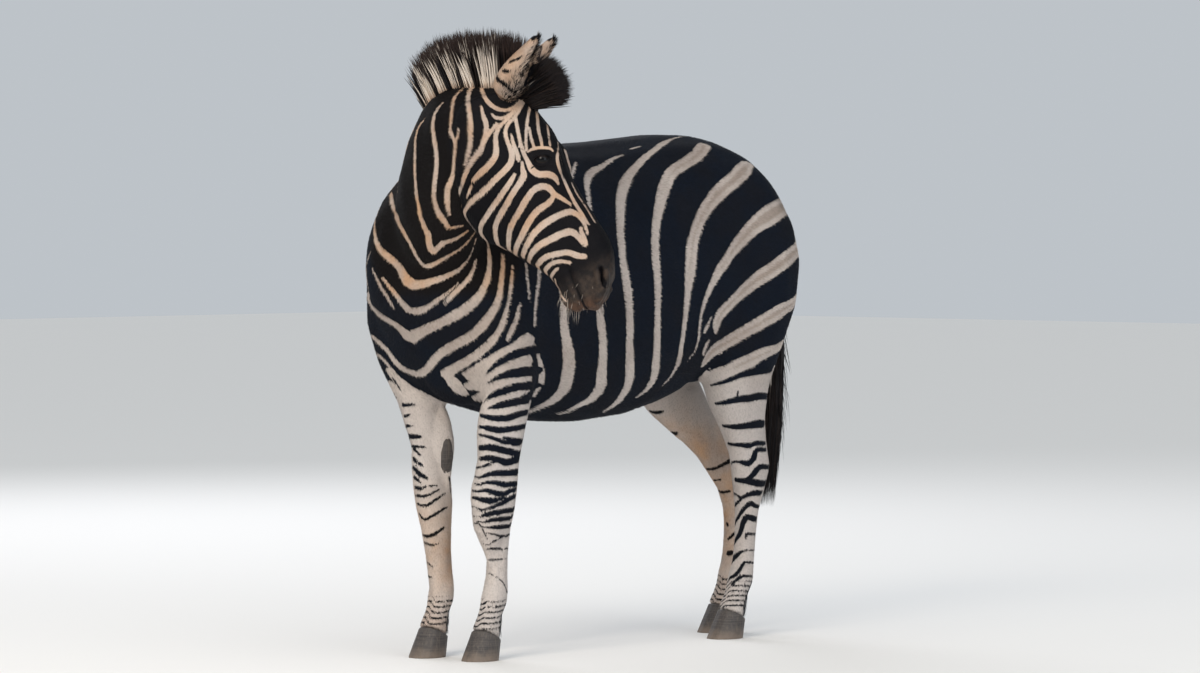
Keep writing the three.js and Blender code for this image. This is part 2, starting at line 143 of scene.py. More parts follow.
def head(down, out=0.0, left=0.0):
    return poll + np.array((down, out, left)) @ face_ways * HEAD


eye_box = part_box("eye_left")
eye_middle = (np.array(eye_box[0]) + np.array(eye_box[1])) / 2
SHIFT = (eye_middle - head(EYE["down"], EYE["out"], EYE["side"])) * (1, 1, 0)
poll = neck_line(POLL_T, POLL_UP)
# The lids open a little above and before the middle of the smooth head's eye.
EYE["down"] -= 0.010
EYE["out"] += 0.006


def eye_at(hand):
    """The middle of the left eye, at hand 1, or of the right one, at hand -1."""
    return head(EYE["down"], EYE["out"], hand * EYE["side"])


def head_from(points):
    """How far down the face, out of it and to the left each point lies, as shares of the head's length."""
    return (np.atleast_2d(points) - poll) @ face_ways.T / HEAD


def link(made):
    """Puts an object into the scene."""
    bpy.context.scene.collection.objects.link(made)


# ---- Camera -------------------------------------------------------------------------------------------
FRAME = (1200, 673)
CAMERA_AT = Vector((-9.737, -9.000, 1.150))
CAMERA_LOOKS_AT = Vector((0.136, 0.207, 0.800))
CAMERA_LENS = 155.7
SENSOR = 36.0

camera_data = bpy.data.cameras.new("camera")
camera_data.lens = CAMERA_LENS
camera_data.sensor_width = SENSOR
camera_data.sensor_fit = "HORIZONTAL"
camera_data.clip_end = 100
camera = bpy.data.objects.new("camera", camera_data)
camera.location = CAMERA_AT
camera.rotation_euler = (CAMERA_LOOKS_AT - CAMERA_AT).to_track_quat("-Z", "Y").to_euler()
link(camera)
bpy.context.scene.camera = camera
view_turn = np.array(camera.rotation_euler.to_matrix())
FOCAL = CAMERA_LENS / SENSOR * FRAME[0]


def ray(x, y):
    """The way from the camera through a pixel of its frame."""
    aim = np.array(((x - FRAME[0] / 2) / FOCAL, (FRAME[1] / 2 - y) / FOCAL, -1.0))
    return Vector(unit(view_turn @ aim))


# ---- Meshes -------------------------------------------------------------------------------------------
def only(*objects):
    """Selects these objects and nothing else, with the first of them active."""
    bpy.ops.object.select_all(action="DESELECT")
    for o in objects:
        o.select_set(True)
    bpy.context.view_layer.objects.active = objects[0]


def apply(o, kind, **settings):
    """Puts a modifier on an object and applies it."""
    only(o)
    modifier = o.modifiers.new(kind.lower(), kind)
    for key, value in settings.items():
        setattr(modifier, key, value)
    bpy.ops.object.modifier_apply(modifier=modifier.name)


def copy_of(node_name):
    """A copy of one CAD node, as an object of its own."""
    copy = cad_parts[node_name].copy()
    copy.data = copy.data.copy()
    copy.parent = None
    for key in list(copy.keys()):
        del copy[key]
    link(copy)
    return copy


def weld(*objects):
    """Joins the points of CAD copies that lie on each other, and clears the normals they came with."""
    only(*objects)
    bpy.ops.object.mode_set(mode="EDIT")
    bpy.ops.mesh.select_all(action="SELECT")
    bpy.ops.mesh.customdata_custom_splitnormals_clear()
    bpy.ops.mesh.remove_doubles(threshold=WELD)
    bpy.ops.object.mode_set(mode="OBJECT")


def rounded(name, segments, rings, radius=1):
    """A new ball, for its points to be moved."""
    bpy.ops.object.select_all(action="DESELECT")
    bpy.ops.mesh.primitive_uv_sphere_add(segments=segments, ring_count=rings, radius=radius)
    made = bpy.context.object
    made.name = made.data.name = name
    return made


def face_outwards(made):
    """Turns a closed mesh's faces outwards and shades it smooth."""
    only(made)
    bpy.ops.object.mode_set(mode="EDIT")
    bpy.ops.mesh.select_all(action="SELECT")
    bpy.ops.mesh.normals_make_consistent(inside=False)
    bpy.ops.object.mode_set(mode="OBJECT")
    bpy.ops.object.shade_smooth()


def read(collection, key, size, kind=np.float32):
    values = np.empty(len(collection) * size, kind)
    collection.foreach_get(key, values)
    return values.reshape(-1, size)


def points_of(mesh):
    return read(mesh.vertices, "co", 3).astype(float)


def normals_of(mesh):
    return read(mesh.vertices, "normal", 3).astype(float)


def edges_of(mesh):
    return read(mesh.edges, "vertices", 2, np.int32)


def set_points(mesh, points):
    mesh.vertices.foreach_set("co", points.astype(np.float32).ravel())
    mesh.update()


def set_value(mesh, name, values):
    """Stores one number or one vector for each point of a mesh, for its material to read."""
    kind, key = ("FLOAT", "value") if np.ndim(values) == 1 else ("FLOAT_VECTOR", "vector")
    attribute = mesh.attributes.new(name, kind, "POINT")
    attribute.data.foreach_set(key, np.asarray(values, np.float32).ravel())


def spread(values, edges, rounds):
    """Evens values out between neighbouring points."""
    values = np.array(values, float)
    flat = values.reshape(len(values), -1)
    a, b = edges[:, 0], edges[:, 1]
    count = np.bincount(a, minlength=len(flat)) + np.bincount(b, minlength=len(flat))
    count = np.maximum(count, 1)
    for _ in range(rounds):
        for k in range(flat.shape[1]):
            column = flat[:, k]
            total = np.bincount(a, column[b], len(flat)) + np.bincount(b, column[a], len(flat))
            flat[:, k] = column + 0.5 * (total / count - column)
    return flat.reshape(values.shape)


# ---- Skin ---------------------------------------------------------------------------------------------
LEG_NAMES = ("front_left", "front_right", "hind_left", "hind_right")
LEGS = [f"leg_{name}" for name in LEG_NAMES]
EARS = ["ear_left", "ear_right"]
FLESH = ["head", "neck", "trunk", "tail"] + EARS + LEGS
FACET_ROUNDS = 16
JOIN_ROUNDS = 70
EARS_LEAST = 0.25
EARS_LESS_DEEP = 0.002
MUZZLE_FROM = 0.74
ROUND_EYE = 0.052
# The heights between which a leg passes into the trunk.
LEG_TOPS = (0.40, 0.62)


def joined_flesh():
    """Copies of the flesh nodes as one object, and a tree that tells which node is nearest to a place.
    The eyes are joined in too, so that the skin runs on under them with no moat."""
    copies = [copy_of(name) for name in FLESH + ["eye_left", "eye_right"]]
    weld(*copies)
    corners, faces, owner = [], [], []
    for index, copy in enumerate(copies):
        start = len(corners)
        corners += [v.co.copy() for v in copy.data.vertices]
        faces += [tuple(start + i for i in p.vertices) for p in copy.data.polygons]
        owner += [index if index < len(FLESH) else FLESH.index("head")] * len(copy.data.polygons)
        apply(copy, "DISPLACE", strength=OVERLAP, mid_level=0.0)
    only(*copies)
    bpy.ops.object.join()
    whole = bpy.context.view_layer.objects.active
    whole.name = whole.data.name = "skin"
    whole.data.materials.clear()
    return whole, BVHTree.FromPolygons(corners, faces), np.array(owner)


skin, flesh_tree, flesh_owner = joined_flesh()
apply(skin, "REMESH", mode="VOXEL", voxel_size=VOXEL, adaptivity=0.0)


def shares_of(points, edges, rounds):
    """How much each point belongs to each part of the flesh, by the part's name."""
    owner = np.array([flesh_owner[flesh_tree.find_nearest(Vector(p))[2]] for p in points])
    weights = np.zeros((len(points), len(FLESH)))
    weights[np.arange(len(points)), owner] = 1
    weights = spread(weights, edges, rounds)
    return {name: weights[:, k] for k, name in enumerate(FLESH)}


def evened(points, edges, weight, rounds):
    """Rounds off facets and creases, and puts back what that took from the broad forms."""
    once = points + (spread(points, edges, rounds) - points) * weight[:, None]
    lost = points - once
    return once + spread(lost, edges, rounds) * weight[:, None]


points = points_of(skin.data)
edges = edges_of(skin.data)
share = shares_of(points, edges, 12)

# The joins between the limbs, neck and trunk are evened out most, and the head, ears and feet least.
ears_share = share["ear_left"] + share["ear_right"]
broad = share["trunk"] + share["neck"] + 0.3 * share["tail"]
for name in LEGS:
    broad += share[name] * between(points[:, 2], *LEG_TOPS)
broad = np.clip(broad, 0, 1)
points = evened(points, edges, np.maximum(1 - ears_share, EARS_LEAST), FACET_ROUNDS)
points = evened(points, edges, broad, JOIN_ROUNDS)
set_points(skin.data, points)

normals = normals_of(skin.data)
depth = COAT_DEPTH + OVERLAP - EARS_LESS_DEEP * ears_share
points = points - normals * depth[:, None]
set_points(skin.data, points)

# The faces are thinned out evenly, and least where the markings are finest. A little roughness decides
# where faces go, and is taken out again after that.
even_skin = skin.copy()
even_skin.data = skin.data.copy()
link(even_skin)
fine = share["head"] + sum(share[name] for name in EARS + LEGS + ["tail"])
rough = chance.normal(size=len(points)) * (ROUGH_BROAD + (ROUGH_FINE - ROUGH_BROAD) * np.clip(fine, 0, 1))
set_points(skin.data, points + normals * rough[:, None])
apply(skin, "DECIMATE", ratio=min(1.0, SKIN_FACES / (2 * len(skin.data.polygons))),
      use_collapse_triangulate=True)
apply(skin, "TRIANGULATE")
apply(skin, "SHRINKWRAP", target=even_skin, wrap_method="NEAREST_SURFACEPOINT")
apply(skin, "SMOOTH", factor=0.4, iterations=2)
apply(skin, "SHRINKWRAP", target=even_skin, wrap_method="NEAREST_SURFACEPOINT")
bpy.data.objects.remove(even_skin)
only(skin)
bpy.ops.object.shade_smooth()
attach(skin, "root")
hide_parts(*FLESH)


def refine(wanted):
    """Splits the faces round the wanted points into four."""
    only(skin)
    bpy.ops.object.mode_set(mode="EDIT")
    bpy.ops.mesh.select_mode(type="VERT")
    bpy.ops.mesh.select_all(action="DESELECT")
    bpy.ops.object.mode_set(mode="OBJECT")
    skin.data.vertices.foreach_set("select", wanted)
    bpy.ops.object.mode_set(mode="EDIT")
    bpy.ops.mesh.select_mode(type="VERT")
    bpy.ops.mesh.subdivide(number_cuts=1, smoothness=0.5)
    bpy.ops.object.mode_set(mode="OBJECT")
    apply(skin, "TRIANGULATE")


def from_eye(points, hand):
    return np.linalg.norm(points - eye_at(hand), axis=1)


points = points_of(skin.data)
down, out, left = head_from(points).T
near_head = np.linalg.norm(points - head(0.5), axis=1) < 0.6 * HEAD
muzzle = (down > MUZZLE_FROM) & near_head
around_eyes = np.minimum(from_eye(points, 1), from_eye(points, -1)) < ROUND_EYE
refine(muzzle | around_eyes)


def parts_of_faces():
    """Which part of the flesh each face of the skin belongs to most."""
    return np.argmax(np.stack([share[name][faces].mean(1) for name in FLESH], 1), 1)


def tree_of(points, faces):
    return BVHTree.FromPolygons([Vector(p) for p in points], faces.tolist())


points = points_of(skin.data)
normals = normals_of(skin.data)
edges = edges_of(skin.data)
faces = read(skin.data.polygons, "vertices", 3, np.int32)
share = shares_of(points, edges, 6)
part_of_face = parts_of_faces()
skin_tree = tree_of(points, faces)


# ---- Where the camera's view meets the skin -----------------------------------------------------------
STEP = 4.0


def along_curve(places, step):
    """A smooth line through the places, with a point about every step of its first two numbers."""
    places = np.asarray(places, float)
    ends = np.vstack((2 * places[0] - places[1], places, 2 * places[-1] - places[-2]))
    line = []
    for a, b, c, d in zip(ends, ends[1:], ends[2:], ends[3:]):
        count = max(1, math.ceil(np.linalg.norm(c[:2] - b[:2]) / step))
        for u in np.arange(count)[:, None] / count:
            line.append(0.5 * (2 * b + (c - a) * u + (2 * a - 5 * b + 4 * c - d) * u**2
                               + (3 * b - a - 3 * c + d) * u**3))
    return np.vstack(line + [places[-1]])


def on_skin(x, y, parts, near=None):
    """Where the camera's view through a pixel meets these parts of the skin, or passes closest to them."""
    way = ray(x, y)
    start = CAMERA_AT
    wanted = {FLESH.index(name) for name in parts}
    for _ in range(12):
        place, _, face, _ = skin_tree.ray_cast(start, way)
        if place is None:
            break
        if part_of_face[face] in wanted:
            return np.array(place)
        start = place + way * 0.0005
    if near is None:
        return None
    beside = CAMERA_AT + way * way.dot(Vector(near) - CAMERA_AT)
    return np.array(skin_tree.find_nearest(beside)[0])


def laid(stroke, parts):
    """A stroke in the camera's view as points on the skin, each with its half width in metres."""
    line, last = [], None
    for x, y, half in along_curve(stroke, STEP):
        place = on_skin(x, y, parts, last)
        if place is None:
            continue
        last = place
        away = (Vector(place) - CAMERA_AT).length
        line.append((*place, half * away / FOCAL))
    return np.array(line).reshape(-1, 4)


def other_cheek(line):
    """A line on one side of the head as it lies on the other side."""
    turned_line = line.copy()
    turned_line[:, :3] -= 2 * ((line[:, :3] - poll) @ face_left)[:, None] * face_left
    return turned_line


def off_line(spots, line):
    """How far each spot lies from a line, and the line's own half width there."""
    best = np.full(len(spots), 1e9)
    width = np.zeros(len(spots))
    for a, b in zip(line, line[1:]):
        way = b[:3] - a[:3]
        t = np.clip((spots - a[:3]) @ way / max(way @ way, 1e-12), 0, 1)
        off = np.linalg.norm(spots - a[:3] - t[:, None] * way, axis=1)
        closer = off < best
        best[closer] = off[closer]
        width[closer] = (a[3] + (b[3] - a[3]) * t)[closer]
    return best, width


# The right hind leg stands back from the left one and a little inwards, fully below its knee.
HIND_FROM = 0.52 * WITHERS
HIND_OVER = 0.24 * WITHERS
HIND_BACK = 0.115
HIND_INWARDS = 0.030


def far_side(line):
    """A line on the body's left side as it lies on its right side, where the hind leg stands otherwise."""
    flat = body_from(line[:, :3])
    fore, left, up = flat.T
    hind = np.clip((HIND_FROM - up) / HIND_OVER, 0, 1) * (fore < 0)
    fore = fore - HIND_BACK * hind
    left = -(left + 0.005 * hind) + HIND_INWARDS * hind
    turned_line = line.copy()
    for k, place in enumerate(zip(fore, left, up)):
        turned_line[k, :3] = skin_tree.find_nearest(Vector(body(*place)))[0]
    return turned_line


# ---- Forms of the head --------------------------------------------------------------------------------
# Each form is a stroke in the camera's view, whose half width is how far the form reaches, and a height in
# millimetres, which is negative for a hollow or a fold.
HEAD_FORMS = [
    ("mouth", -5.0, [(569.5, 271, 1.6), (573, 281, 1.8), (578, 292, 1.8), (583.5, 304, 1.6),
                     (587, 309, 1.4)]),
    ("mouth corner", -3.0, [(567.5, 269, 3.0), (570, 273, 2.6)]),
    ("upper lip", 3.0, [(575, 272, 3.2), (580, 283, 3.6), (586, 296, 3.6)]),
    ("lower lip", 3.0, [(566, 277, 3.0), (570, 287, 3.4), (577, 300, 3.4)]),
    ("nostril", -17.0, [(601.0, 268, 1.9), (602.3, 276, 2.7), (604.2, 284, 2.1)]),
    ("nostril rim", 4.0, [(598, 267, 3.6), (597.5, 276, 3.8), (600, 287, 3.6), (605, 290, 2.8)]),
    ("nostril wing", 3.0, [(606, 268, 2.4), (608, 278, 2.6), (608, 286, 2.4)]),
    ("cheek edge", 3.5, [(459, 186, 5), (458, 200, 6), (463, 216, 6), (475, 229, 6), (490, 241, 5)]),
    ("face ridge", 2.6, [(548, 180, 5), (556, 196, 5), (565, 212, 4.5), (574, 228, 4)]),
    ("under the face ridge", -2.2, [(540, 186, 5), (547, 204, 5), (556, 222, 5), (563, 238, 4)]),
    ("brow", 3.0, [(528, 150, 3.4), (536, 147.5, 3.6), (545, 147, 3.6), (553, 149.5, 3)]),
    ("above the eye", -3.0, [(527, 138, 4.5), (535, 134, 5), (543, 134, 4)]),
    ("below the eye", -1.6, [(533, 167, 2.6), (543, 170, 2.8), (552, 168, 2.4)]),
    ("cheek muscle", 3.0, [(488, 172, 13), (494, 190, 15), (503, 206, 13)]),
    ("nose hollow", -3.0, [(584, 243, 7), (590, 255, 7)]),
]


# Points farther than this from a form's stroke aren't looked at, and forms above this many millimetres
# sink as they narrow.
FORM_REACH = 0.08
HIGH_FORM = 10
# How far out a form's foot lies, in half widths of its stroke.
FOOT = 1.6


def form(line, height, spots, ways):
    """How far a form moves each spot, along its way out of the skin. A high form sinks as it narrows."""
    off, reach = off_line(spots, line)
    rise = np.clip(1 - (off / np.maximum(reach * FOOT, 1e-6)) ** 2, 0, 1) ** 2
    if height > HIGH_FORM:
        rise *= reach / line[:, 3].max()
    return ways * (rise * height * 0.001)[:, None]


# The head's line departs from the smooth head in three places. The nose swells above the nostrils, the lips
# fall back below them, and the jaw is deeper at the cheek. Shares of the head's length, down the face.
NOSE_DOWN = (0.45, 0.54, 0.62, 0.73, 0.80, 0.87, 0.92)
NOSE_SWELL = (0, 0.013, 0.027, 0.047, 0.043, 0.020, 0)
LIPS_DOWN = (0.88, 0.93, 0.97, 1.03)
LIPS_BACK = (0, 0.022, 0.036, 0.030)
JAW_DOWN = (0.02, 0.16, 0.27, 0.37, 0.44, 0.515, 0.58, 0.66, 0.77, 0.89, 1.0)
JAW_DEEP = (0, 0.004, 0.018, 0.062, 0.080, 0.092, 0.080, 0.068, 0.046, 0.032, 0.004)
down, out, _ = head_from(points).T
of_head = between(share["head"], 0.1, 0.7)
outwards = np.interp(down, NOSE_DOWN, NOSE_SWELL) * between(out, -0.14, -0.02)
outwards -= np.interp(down, LIPS_DOWN, LIPS_BACK) * between(out, -0.20, -0.05)
outwards -= np.interp(down, JAW_DOWN, JAW_DEEP) * between(-out, 0.07, 0.20)
points = points + face_out * (outwards * of_head * HEAD)[:, None]
set_points(skin.data, points)
normals = normals_of(skin.data)
skin_tree = tree_of(points, faces)


def shape(chosen, forms, parts, twin):
    """Moves the chosen points by a list of forms, which some have on the other side too."""
    spots, ways = points[chosen], normals[chosen]
    moved = np.zeros_like(spots)
    for name, height, both, stroke in forms:
        line = laid(stroke, parts)
        for side_line in ([line, twin(line)] if both else [line]):
            low = side_line[:, :3].min(0) - FORM_REACH
            high = side_line[:, :3].max(0) + FORM_REACH
            near = np.all((spots > low) & (spots < high), 1)
            moved[near] += form(side_line, height, spots[near], ways[near])
    points[chosen] += moved
    set_points(skin.data, points)


near_head = np.linalg.norm(points - head(0.5), axis=1) < 0.75 * HEAD
in_head_points = np.nonzero((share["head"] + share["neck"] > 0.5) & near_head)[0]
shape(in_head_points, [(*those, True, stroke) for *those, stroke in HEAD_FORMS], ["head"], other_cheek)


# Forms of the body: name, height, whether the other side has it too, and the stroke.
BODY_FORMS = [
    ("furrow of the breast", -8, False, [(410, 344, 5), (412, 326, 6), (413, 308, 6), (412, 290, 5),
                                         (419, 272, 4), (428, 263, 3)]),
    ("groove of the neck", -3, True, [(453, 200, 5), (441, 228, 5), (431, 250, 4)]),
    ("edge of the shoulder", -4, True, [(512, 238, 4), (517, 268, 4), (524, 300, 4), (531, 328, 4),
                                        (538, 352, 4)]),
    ("shoulder blade", -3, True, [(498, 250, 6), (490, 285, 6), (478, 315, 5)]),
    ("arm muscle", 3, True, [(508, 330, 10), (506, 360, 11), (504, 392, 9)]),
    ("hollow inside the arm", -5, True, [(458, 376, 5), (468, 398, 5), (476, 420, 4)]),
    ("hollow above the knee", -2.5, True, [(500, 436, 5), (500, 452, 5)]),
    ("knee", 2.5, True, [(482, 474, 6), (483, 488, 7), (486, 500, 5)]),
    ("side of the knee", -2, True, [(504, 478, 4), (504, 496, 4)]),
    ("groove of the tendon", -2.5, True, [(504, 520, 2.5), (502, 550, 2.5), (500, 585, 2.5)]),
    ("flank fold", 3, True, [(684, 352, 5), (697, 363, 6), (708, 378, 6)]),
    ("hollow of the flank", -7, True, [(676, 232, 14), (684, 262, 13), (690, 292, 10)]),
    ("before the fold", -4, True, [(676, 372, 7), (690, 384, 6)]),
    ("groove of the thigh", -3.5, True, [(757, 250, 6), (757, 290, 6), (754, 330, 5), (751, 360, 4)]),
    ("front of the thigh", -3, True, [(712, 250, 8), (716, 290, 8), (712, 330, 7)]),
    ("gaskin", 3, True, [(728, 400, 8), (730, 420, 8), (732, 438, 6)]),
    ("hollow before the hock cord", -5, True, [(747, 432, 3.5), (751, 450, 3.5), (753, 464, 3)]),
    ("hock", 2.5, True, [(758, 472, 4), (757, 482, 4)]),
    ("groove of the hind tendon", -2.5, True, [(748, 500, 2.5), (742, 530, 2.5), (736, 565, 2.5)]),
    ("rib", -1.6, True, [(618, 190, 5), (604, 260, 5), (588, 340, 5)]),
    ("rib", -1.6, True, [(642, 190, 5), (628, 260, 5), (612, 340, 5)]),
    ("rib", -1.4, True, [(664, 195, 5), (652, 260, 5), (636, 340, 5)]),
    ("throat fold", -3.0, False, [(478, 233, 1.2), (468, 229, 1.4), (456, 227, 1.4), (449, 229, 1.0)]),
    ("throat fold", -2.4, False, [(480, 240, 1.2), (472, 248, 1.4), (462, 252, 1.4), (449, 257, 1.2),
                                  (440, 260, 1.0)]),
    ("throat fold", -2.4, False, [(484, 243, 1.2), (478, 256, 1.6), (468, 268, 1.6), (456, 276, 1.4)]),
    ("throat fold", -2.4, False, [(488, 244, 1.2), (486, 262, 1.8), (479, 280, 1.8), (470, 292, 1.4)]),
    ("neck crease", -1.6, False, [(470, 300, 1), (474, 308, 1.2), (475, 316, 1)]),
    ("front of the near fore leg", 40, False, [
        (490, 394, 2), (490, 408, 8), (490.5, 430, 11), (491, 460, 11), (487, 482, 11), (486.5, 500, 12),
        (488.5, 524, 12), (489.5, 538, 9), (490, 552, 5), (491, 566, 2)]),
    ("front of the far fore leg", 20, False, [
        (403, 396, 3), (409, 420, 7), (417, 445, 8), (421, 470, 12), (425, 498, 13), (430, 524, 13),
        (434, 550, 12), (435, 578, 8), (436, 598, 3)]),
    ("inside of the far fore leg", 26, False, [
        (441, 402, 2), (442, 420, 8), (444, 446, 10), (446, 466, 6), (448, 488, 2)]),
]
skin_tree = tree_of(points, faces)
body_parts = [name for name in FLESH if name not in EARS + ["head"]]
on_the_body = np.nonzero(sum(share[name] for name in body_parts) > 0.6)[0]
shape(on_the_body, BODY_FORMS, body_parts, far_side)
points = points + (spread(points, edges, 2) - points) * 0.5
set_points(skin.data, points)
normals = normals_of(skin.data)
skin_tree = tree_of(points, faces)


# ---- Eyes and lids ------------------------------------------------------------------------------------
EYE_HALF = 0.0188
LID_UP = 0.0108
LID_DOWN = 0.0086
LID_SEGMENTS = 72
LID_RINGS = 12
LID_FOLD = 0.0016
LID_CREASE = 0.0010
LID_THICK = 0.0016
LID_SPREAD = math.radians(46)


def eye_ways(hand):
    """The eye's long way towards the nose, its way up, and its way out of the head."""
    out = unit(face_left * hand + 0.16 * face_out + 0.10 * face_axis)
    long = face_axis * 0.50 + face_out * 0.86
    long = unit(long - out * (long @ out))
    high = unit(np.cross(out, long)) * hand
    if high @ UP < 0:
        high = -high
    return long, high, out


def lid_edge(turn):
    """The opening between the lids at a turn round it: how far along and up from the eye's middle."""
    a = math.cos(turn)
    b = math.sin(turn)
    height = LID_UP if b > 0 else LID_DOWN
    lean = 0.0022 * a
    return EYE_HALF * a, height * abs(b) ** 1.15 * math.copysign(1, b) + lean


def lids(hand):
    """A ring of skin that lies on the eyeball at the opening and runs out under the skin round it."""
    centre = eye_at(hand)
    long, high, out = eye_ways(hand)
    radius = EYE["radius"]
    verts, polys = [], []
    for i in range(LID_SEGMENTS):
        along, up = lid_edge(2 * math.pi * i / LID_SEGMENTS)
        flat = math.hypot(along, up)
        start = math.asin(min(flat / radius, 0.98))
        way = (long * along + high * up) / flat
        above = up / flat
        for k in range(LID_RINGS):
            v = k / (LID_RINGS - 1)
            angle = start - 0.04 + LID_SPREAD * v**1.3
            aim = out * math.cos(angle) + way * math.sin(angle)
            hit = skin_tree.ray_cast(Vector(centre), Vector(aim))[0]
            under = (np.linalg.norm(np.array(hit) - centre) if hit is not None else radius) - 0.0012
            roll = LID_THICK * math.sqrt(max(0.0, 1 - (1 - min(v / 0.16, 1)) ** 2))
            fold = LID_FOLD * math.exp(-((v - 0.42) / 0.13) ** 2) * (1.0 if above > 0 else 0.55)
            crease = -LID_CREASE * math.exp(-((v - 0.24) / 0.06) ** 2)
            lie = radius + 0.0002 + roll + fold + crease + 0.0012 * max(above, 0) * v
            settle = float(between(v, 0.45, 1.0))
            verts.append(centre + aim * (lie * (1 - settle) + under * settle))
    for i in range(LID_SEGMENTS):
        j = (i + 1) % LID_SEGMENTS
        for k in range(LID_RINGS - 1):
            a, b, c, d = i * LID_RINGS + k, i * LID_RINGS + k + 1, j * LID_RINGS + k + 1, j * LID_RINGS + k
            polys.append((a, d, c, b) if hand > 0 else (a, b, c, d))
    mesh = bpy.data.meshes.new("lids")
    mesh.from_pydata([tuple(v) for v in verts], [], polys)
    mesh.update()
    made = bpy.data.objects.new("lids", mesh)
    link(made)
    return made


def eyeball(side, hand):
    """A smooth eyeball with the swell of its clear front."""
    centre = eye_at(hand)
    long, high, out = eye_ways(hand)
    ball = rounded(f"eyeball_{side}", 48, 32, EYE["radius"])
    own = points_of(ball.data)
    front = between(own[:, 2] / EYE["radius"], 0.66, 1.0)
    own *= (1 + 0.045 * front)[:, None]
    place = centre + own @ np.stack((long, high, out))
    set_points(ball.data, place)
    face_outwards(ball)
    for k, key in enumerate(("along", "high")):
        set_value(ball.data, key, own[:, k] / EYE["radius"])
    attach(ball, "root")
    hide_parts(f"eye_{side}")
    return ball


lid_rings = [lids(1), lids(-1)]
eyeballs = [eyeball("left", 1), eyeball("right", -1)]
skin_points = len(points)
only(skin, *lid_rings)
bpy.ops.object.join()
skin = bpy.context.view_layer.objects.active
only(skin)
bpy.ops.object.shade_smooth()
apply(skin, "TRIANGULATE")
points = points_of(skin.data)
normals = normals_of(skin.data)
edges = edges_of(skin.data)
faces = read(skin.data.polygons, "vertices", 3, np.int32)
lid_count = len(points) - skin_points
for name in FLESH:
    share[name] = np.concatenate((share[name], np.full(lid_count, 1.0 if name == "head" else 0.0)))
on_lids = np.arange(len(points)) >= skin_points
part_of_face = parts_of_faces()
skin_tree = tree_of(points, faces)


# ---- Roots of the coat --------------------------------------------------------------------------------
# How far apart the tufts stand, how long they are and how wide, on each part of the body.
SPACING = {"trunk": 0.0037, "neck": 0.0033, "head": 0.0024, "tail": 0.0032, "ear": 0.0021, "leg": 0.0028}
LENGTH = {"trunk": 0.0105, "neck": 0.0092, "head": 0.0058, "tail": 0.0140, "ear": 0.0060, "leg": 0.0072}
WIDE = {"trunk": 0.0023, "neck": 0.0021, "head": 0.0015, "tail": 0.0018, "ear": 0.0013, "leg": 0.0018}
EAR_LONG = 0.187


def kind_of(name):
    return name.split("_")[0]


def by_part(table):
    """A size for each point of the skin, blended between the parts of the body."""
    return sum(share[name] * table[kind_of(name)] for name in FLESH)


def ear_ways(hand):
    """An ear's root, the way that it points and the way that its hollow opens."""
    tilt = math.radians(62)
    side = face_left * hand
    along = unit(-face_axis * math.cos(tilt) + face_out * math.sin(tilt) + side * 0.22)
    opening = unit(face_axis * math.sin(tilt) + face_out * math.cos(tilt) + side * 0.05)
    return head(0.005, -0.085, hand * 0.105), along, opening


corners = points[faces]
area = np.linalg.norm(np.cross(corners[:, 1] - corners[:, 0], corners[:, 2] - corners[:, 0]), axis=1) / 2
bald = on_lids[faces].any(1)
expected = np.where(bald, 0, area / by_part(SPACING)[faces].mean(1) ** 2)
mounted = np.floor(np.cumsum(expected) + chance.random())
root_count = np.diff(np.concatenate(([0], mounted))).astype(int)
root_face = np.repeat(np.arange(len(faces)), root_count)
u, v = chance.random((2, len(root_face)))
over = u + v > 1
u[over], v[over] = 1 - u[over], 1 - v[over]
root_mix = np.stack((1 - u - v, u, v), 1)


def at_roots(values):
    """Values of the skin's points, read at the roots of the tufts."""
    picked = values[faces[root_face]]
    return np.einsum("nk,nk...->n...", root_mix, picked)


def carried(values):
    """Values of the skin's points, followed by those of the roots."""
    return np.concatenate((values, at_roots(values)))


spots = carried(points)
spot_normals = unit(carried(normals))
spot_share = {name: carried(share[name]) for name in FLESH}
root_part = np.argmax(np.stack([at_roots(share[name]) for name in FLESH], 1), 1)


